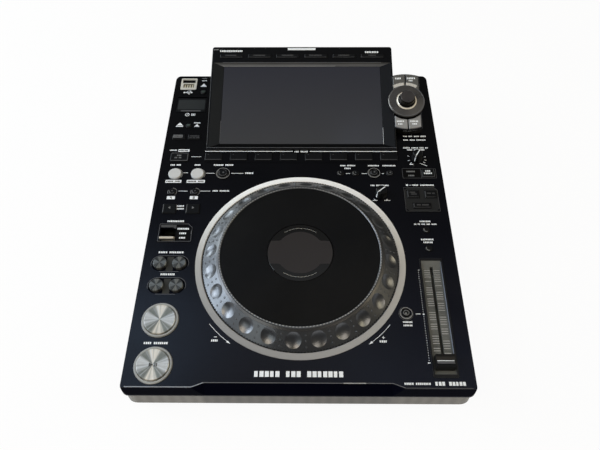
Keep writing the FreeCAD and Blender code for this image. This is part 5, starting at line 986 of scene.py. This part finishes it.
def front_details():
    """Painted highlights along the front edge, plain bars for the names, and the play sign."""
    low, high, left, right = 0.55, 4.8, -87.8, 88.0
    # painted highlights along the front edge: bluish silver at the left, grey in the middle with a brighter
    # stretch, dim at the right
    (Sheet().line((-160.6, low), (-98.4, low), 0.9).line((-98.4, low), (left, 4.75), 0.8)
     .build("front_line_left", EDGE_SILVER))
    (Sheet().line((left, high), (42.0, high), 0.7).line((62.6, high), (right, high), 0.7)
     .line((right, high), (98.8, 0.6), 0.7).build("front_line_middle", EDGE, ROOT, "trim_silver"))
    Sheet().line((42.0, high), (62.6, high), 0.9).build("front_line_bright", GLINT)
    Sheet().line((98.8, low), (160.8, low), 0.6).build("front_line_right", DIM, ROOT, "trim_silver")
    Sheet().words(-41.0, 43.0, 13.2, 5.6, (5, 9)).build("front_name_bars", WHITE)
    (Sheet().words(98.0, 122.4, 4.6, 2.0, (5,)).words(126.4, 155.0, 4.8, 3.6, (3,))
     .build("front_type_bars", WHITE))
    (Sheet(PLAY_TOP).arrow((-136.0, 20.6), 0, 4.0, 0.5).bar(-134.6, -133.8, 18.9, 22.3)
     .bar(-133.1, -132.3, 18.9, 22.3).build("play_sign", DIM, "play_button_body", "cap_dark"))


def well_details():
    """Floors and painted edge highlights of the search and track wells."""
    left, right = WELL_US
    for v in (SEARCH_V, TRACK_V):
        (Sheet().arc((left, v), 9.3, 9.75, 90, 200).arc((right, v), 9.3, 9.75, -20, 90)
         .bar(left, right, v + 9.3, v + 9.75).bar(left, right, v - 9.75, v - 9.3)
         .build("well_edge_%d" % round(v), EDGE))
        (Sheet(WELL_FLOOR).ink(plate(-139.2, -132.0, v - 8.6, v + 8.6), 0.08)
         .build("well_floor_%d" % round(v), WELL))


for details in (panel_print, jog_details, housing_details, island_details, media_details, front_details,
                well_details, left_details, direction_details, right_details, knob_details, strip_details,
                slider_details):
    details()


# ------------------------ light, floor and camera
DOME = 2.3                    # metres from the object to the lamps
LOW, WIDE, HIGH, SMALL_BOX = (1.4, 0.6), (1.1, 0.78), (1.0, 0.8), (0.62, 0.5)


def softbox(name, elevation, turn, size, radiance):
    """A panel of light on a dome round the object; turn runs from the rear towards the left."""
    rise, swing = math.radians(elevation), math.radians(turn)
    aim = Vector((-math.cos(rise) * math.sin(swing), math.cos(rise) * math.cos(swing), math.sin(rise)))
    strength = max(radiance)
    data = bpy.data.lights.new(name, "AREA")
    data.shape = "RECTANGLE"
    data.size, data.size_y = size
    data.energy = strength * math.pi * size[0] * size[1]
    data.color = [share / strength for share in radiance]
    lamp = add_object(name, data)
    lamp.location = aim * DOME + Vector((0.0, 0.0, 0.05))
    lamp.rotation_euler = aim.to_track_quat("Z", "Y").to_euler()


for name, elevation, turn, size, radiance in (
        ("low_left_rear", 14, 45, LOW, (3.8, 4.2, 4.4)), ("low_left", 14, 90, LOW, (3.7, 4.2, 4.7)),
        ("left", 34, 90, WIDE, (6.9, 7.6, 8.4)), ("left_front", 34, 135, WIDE, (1.2, 1.3, 1.3)),
        ("right", 34, 270, WIDE, (3.0, 2.6, 1.8)), ("high_left_front", 54, 135, WIDE, (3.9, 3.3, 2.6)),
        ("high_right_front", 54, 225, WIDE, (3.0, 2.65, 2.2)),
        ("high_right", 54, 270, WIDE, (1.3, 1.2, 0.95)),
        ("sky_left", 66, 60, SMALL_BOX, (0.62, 0.87, 1.22)), ("top_rear", 76, 0, HIGH, (0.22, 0.23, 0.25)),
        ("top_right", 76, 270, HIGH, (0.11, 0.16, 0.28)), ("top_front", 76, 180, HIGH, (0.5, 0.4, 0.1)),
        ("glint_left", 15, 58, (0.8, 0.5), (3.0, 3.4, 3.8))):
    softbox(name + "_light", elevation, turn, size, radiance)

world = bpy.data.worlds.new("studio")
bpy.context.scene.world = world
world.use_nodes = True
backdrop = world.node_tree.nodes["Background"].inputs
backdrop["Color"].default_value = (0.92, 0.95, 1.0, 1.0)
backdrop["Strength"].default_value = 0.07


def make_floor(half=6.0, white_share=0.94):
    """Pale floor that reads as a white background and still takes the object's shadow."""
    mesh = bpy.data.meshes.new("floor")
    mesh.from_pydata([(x, y, 0.0) for x, y in plate(-half, half, -half, half)], [], [(0, 1, 2, 3)])
    floor = add_object("floor", mesh)
    look = Look("pale_floor")
    look.finish((0.88, 0.88, 0.88, 1.0), 0.9, 0.0, 0.1)
    white = look.node("ShaderNodeEmission")
    white.inputs["Strength"].default_value = 1.0
    path = look.node("ShaderNodeLightPath").outputs
    seen = look.maths("ADD", path["Is Camera Ray"], path["Is Glossy Ray"])
    every = look.maths("ADD", seen, path["Is Transmission Ray"])
    for step in (seen, every):
        step.node.use_clamp = True
    mix = look.node("ShaderNodeMixShader")
    look.feed(mix.inputs["Fac"], look.times(every, white_share))
    look.feed(mix.inputs[1], look.shader.outputs[0])
    look.feed(mix.inputs[2], white.outputs[0])
    look.feed(look.tree.nodes["Material Output"].inputs["Surface"], mix.outputs[0])
    mesh.materials.append(look.material)


def make_camera():
    """A camera held above the front edge, turned from the panel by its yaw, pitch and roll."""
    data = bpy.data.cameras.new("camera")
    data.sensor_width = 36.0
    data.sensor_fit = "HORIZONTAL"
    data.lens = 34.67
    aim = Matrix.Translation((0.0071, -0.4391, 0.5481)) @ Matrix.Rotation(SLOPE, 4, "X")
    for angle, axis in ((1.09, "Z"), (90.0 - 56.03, "X"), (-0.77, "Z")):
        aim = aim @ Matrix.Rotation(math.radians(angle), 4, axis)
    camera = add_object("camera", data)
    camera.matrix_world = aim
    bpy.context.scene.camera = camera


make_floor()
make_camera()
bpy.context.scene.view_settings.view_transform = "Standard"
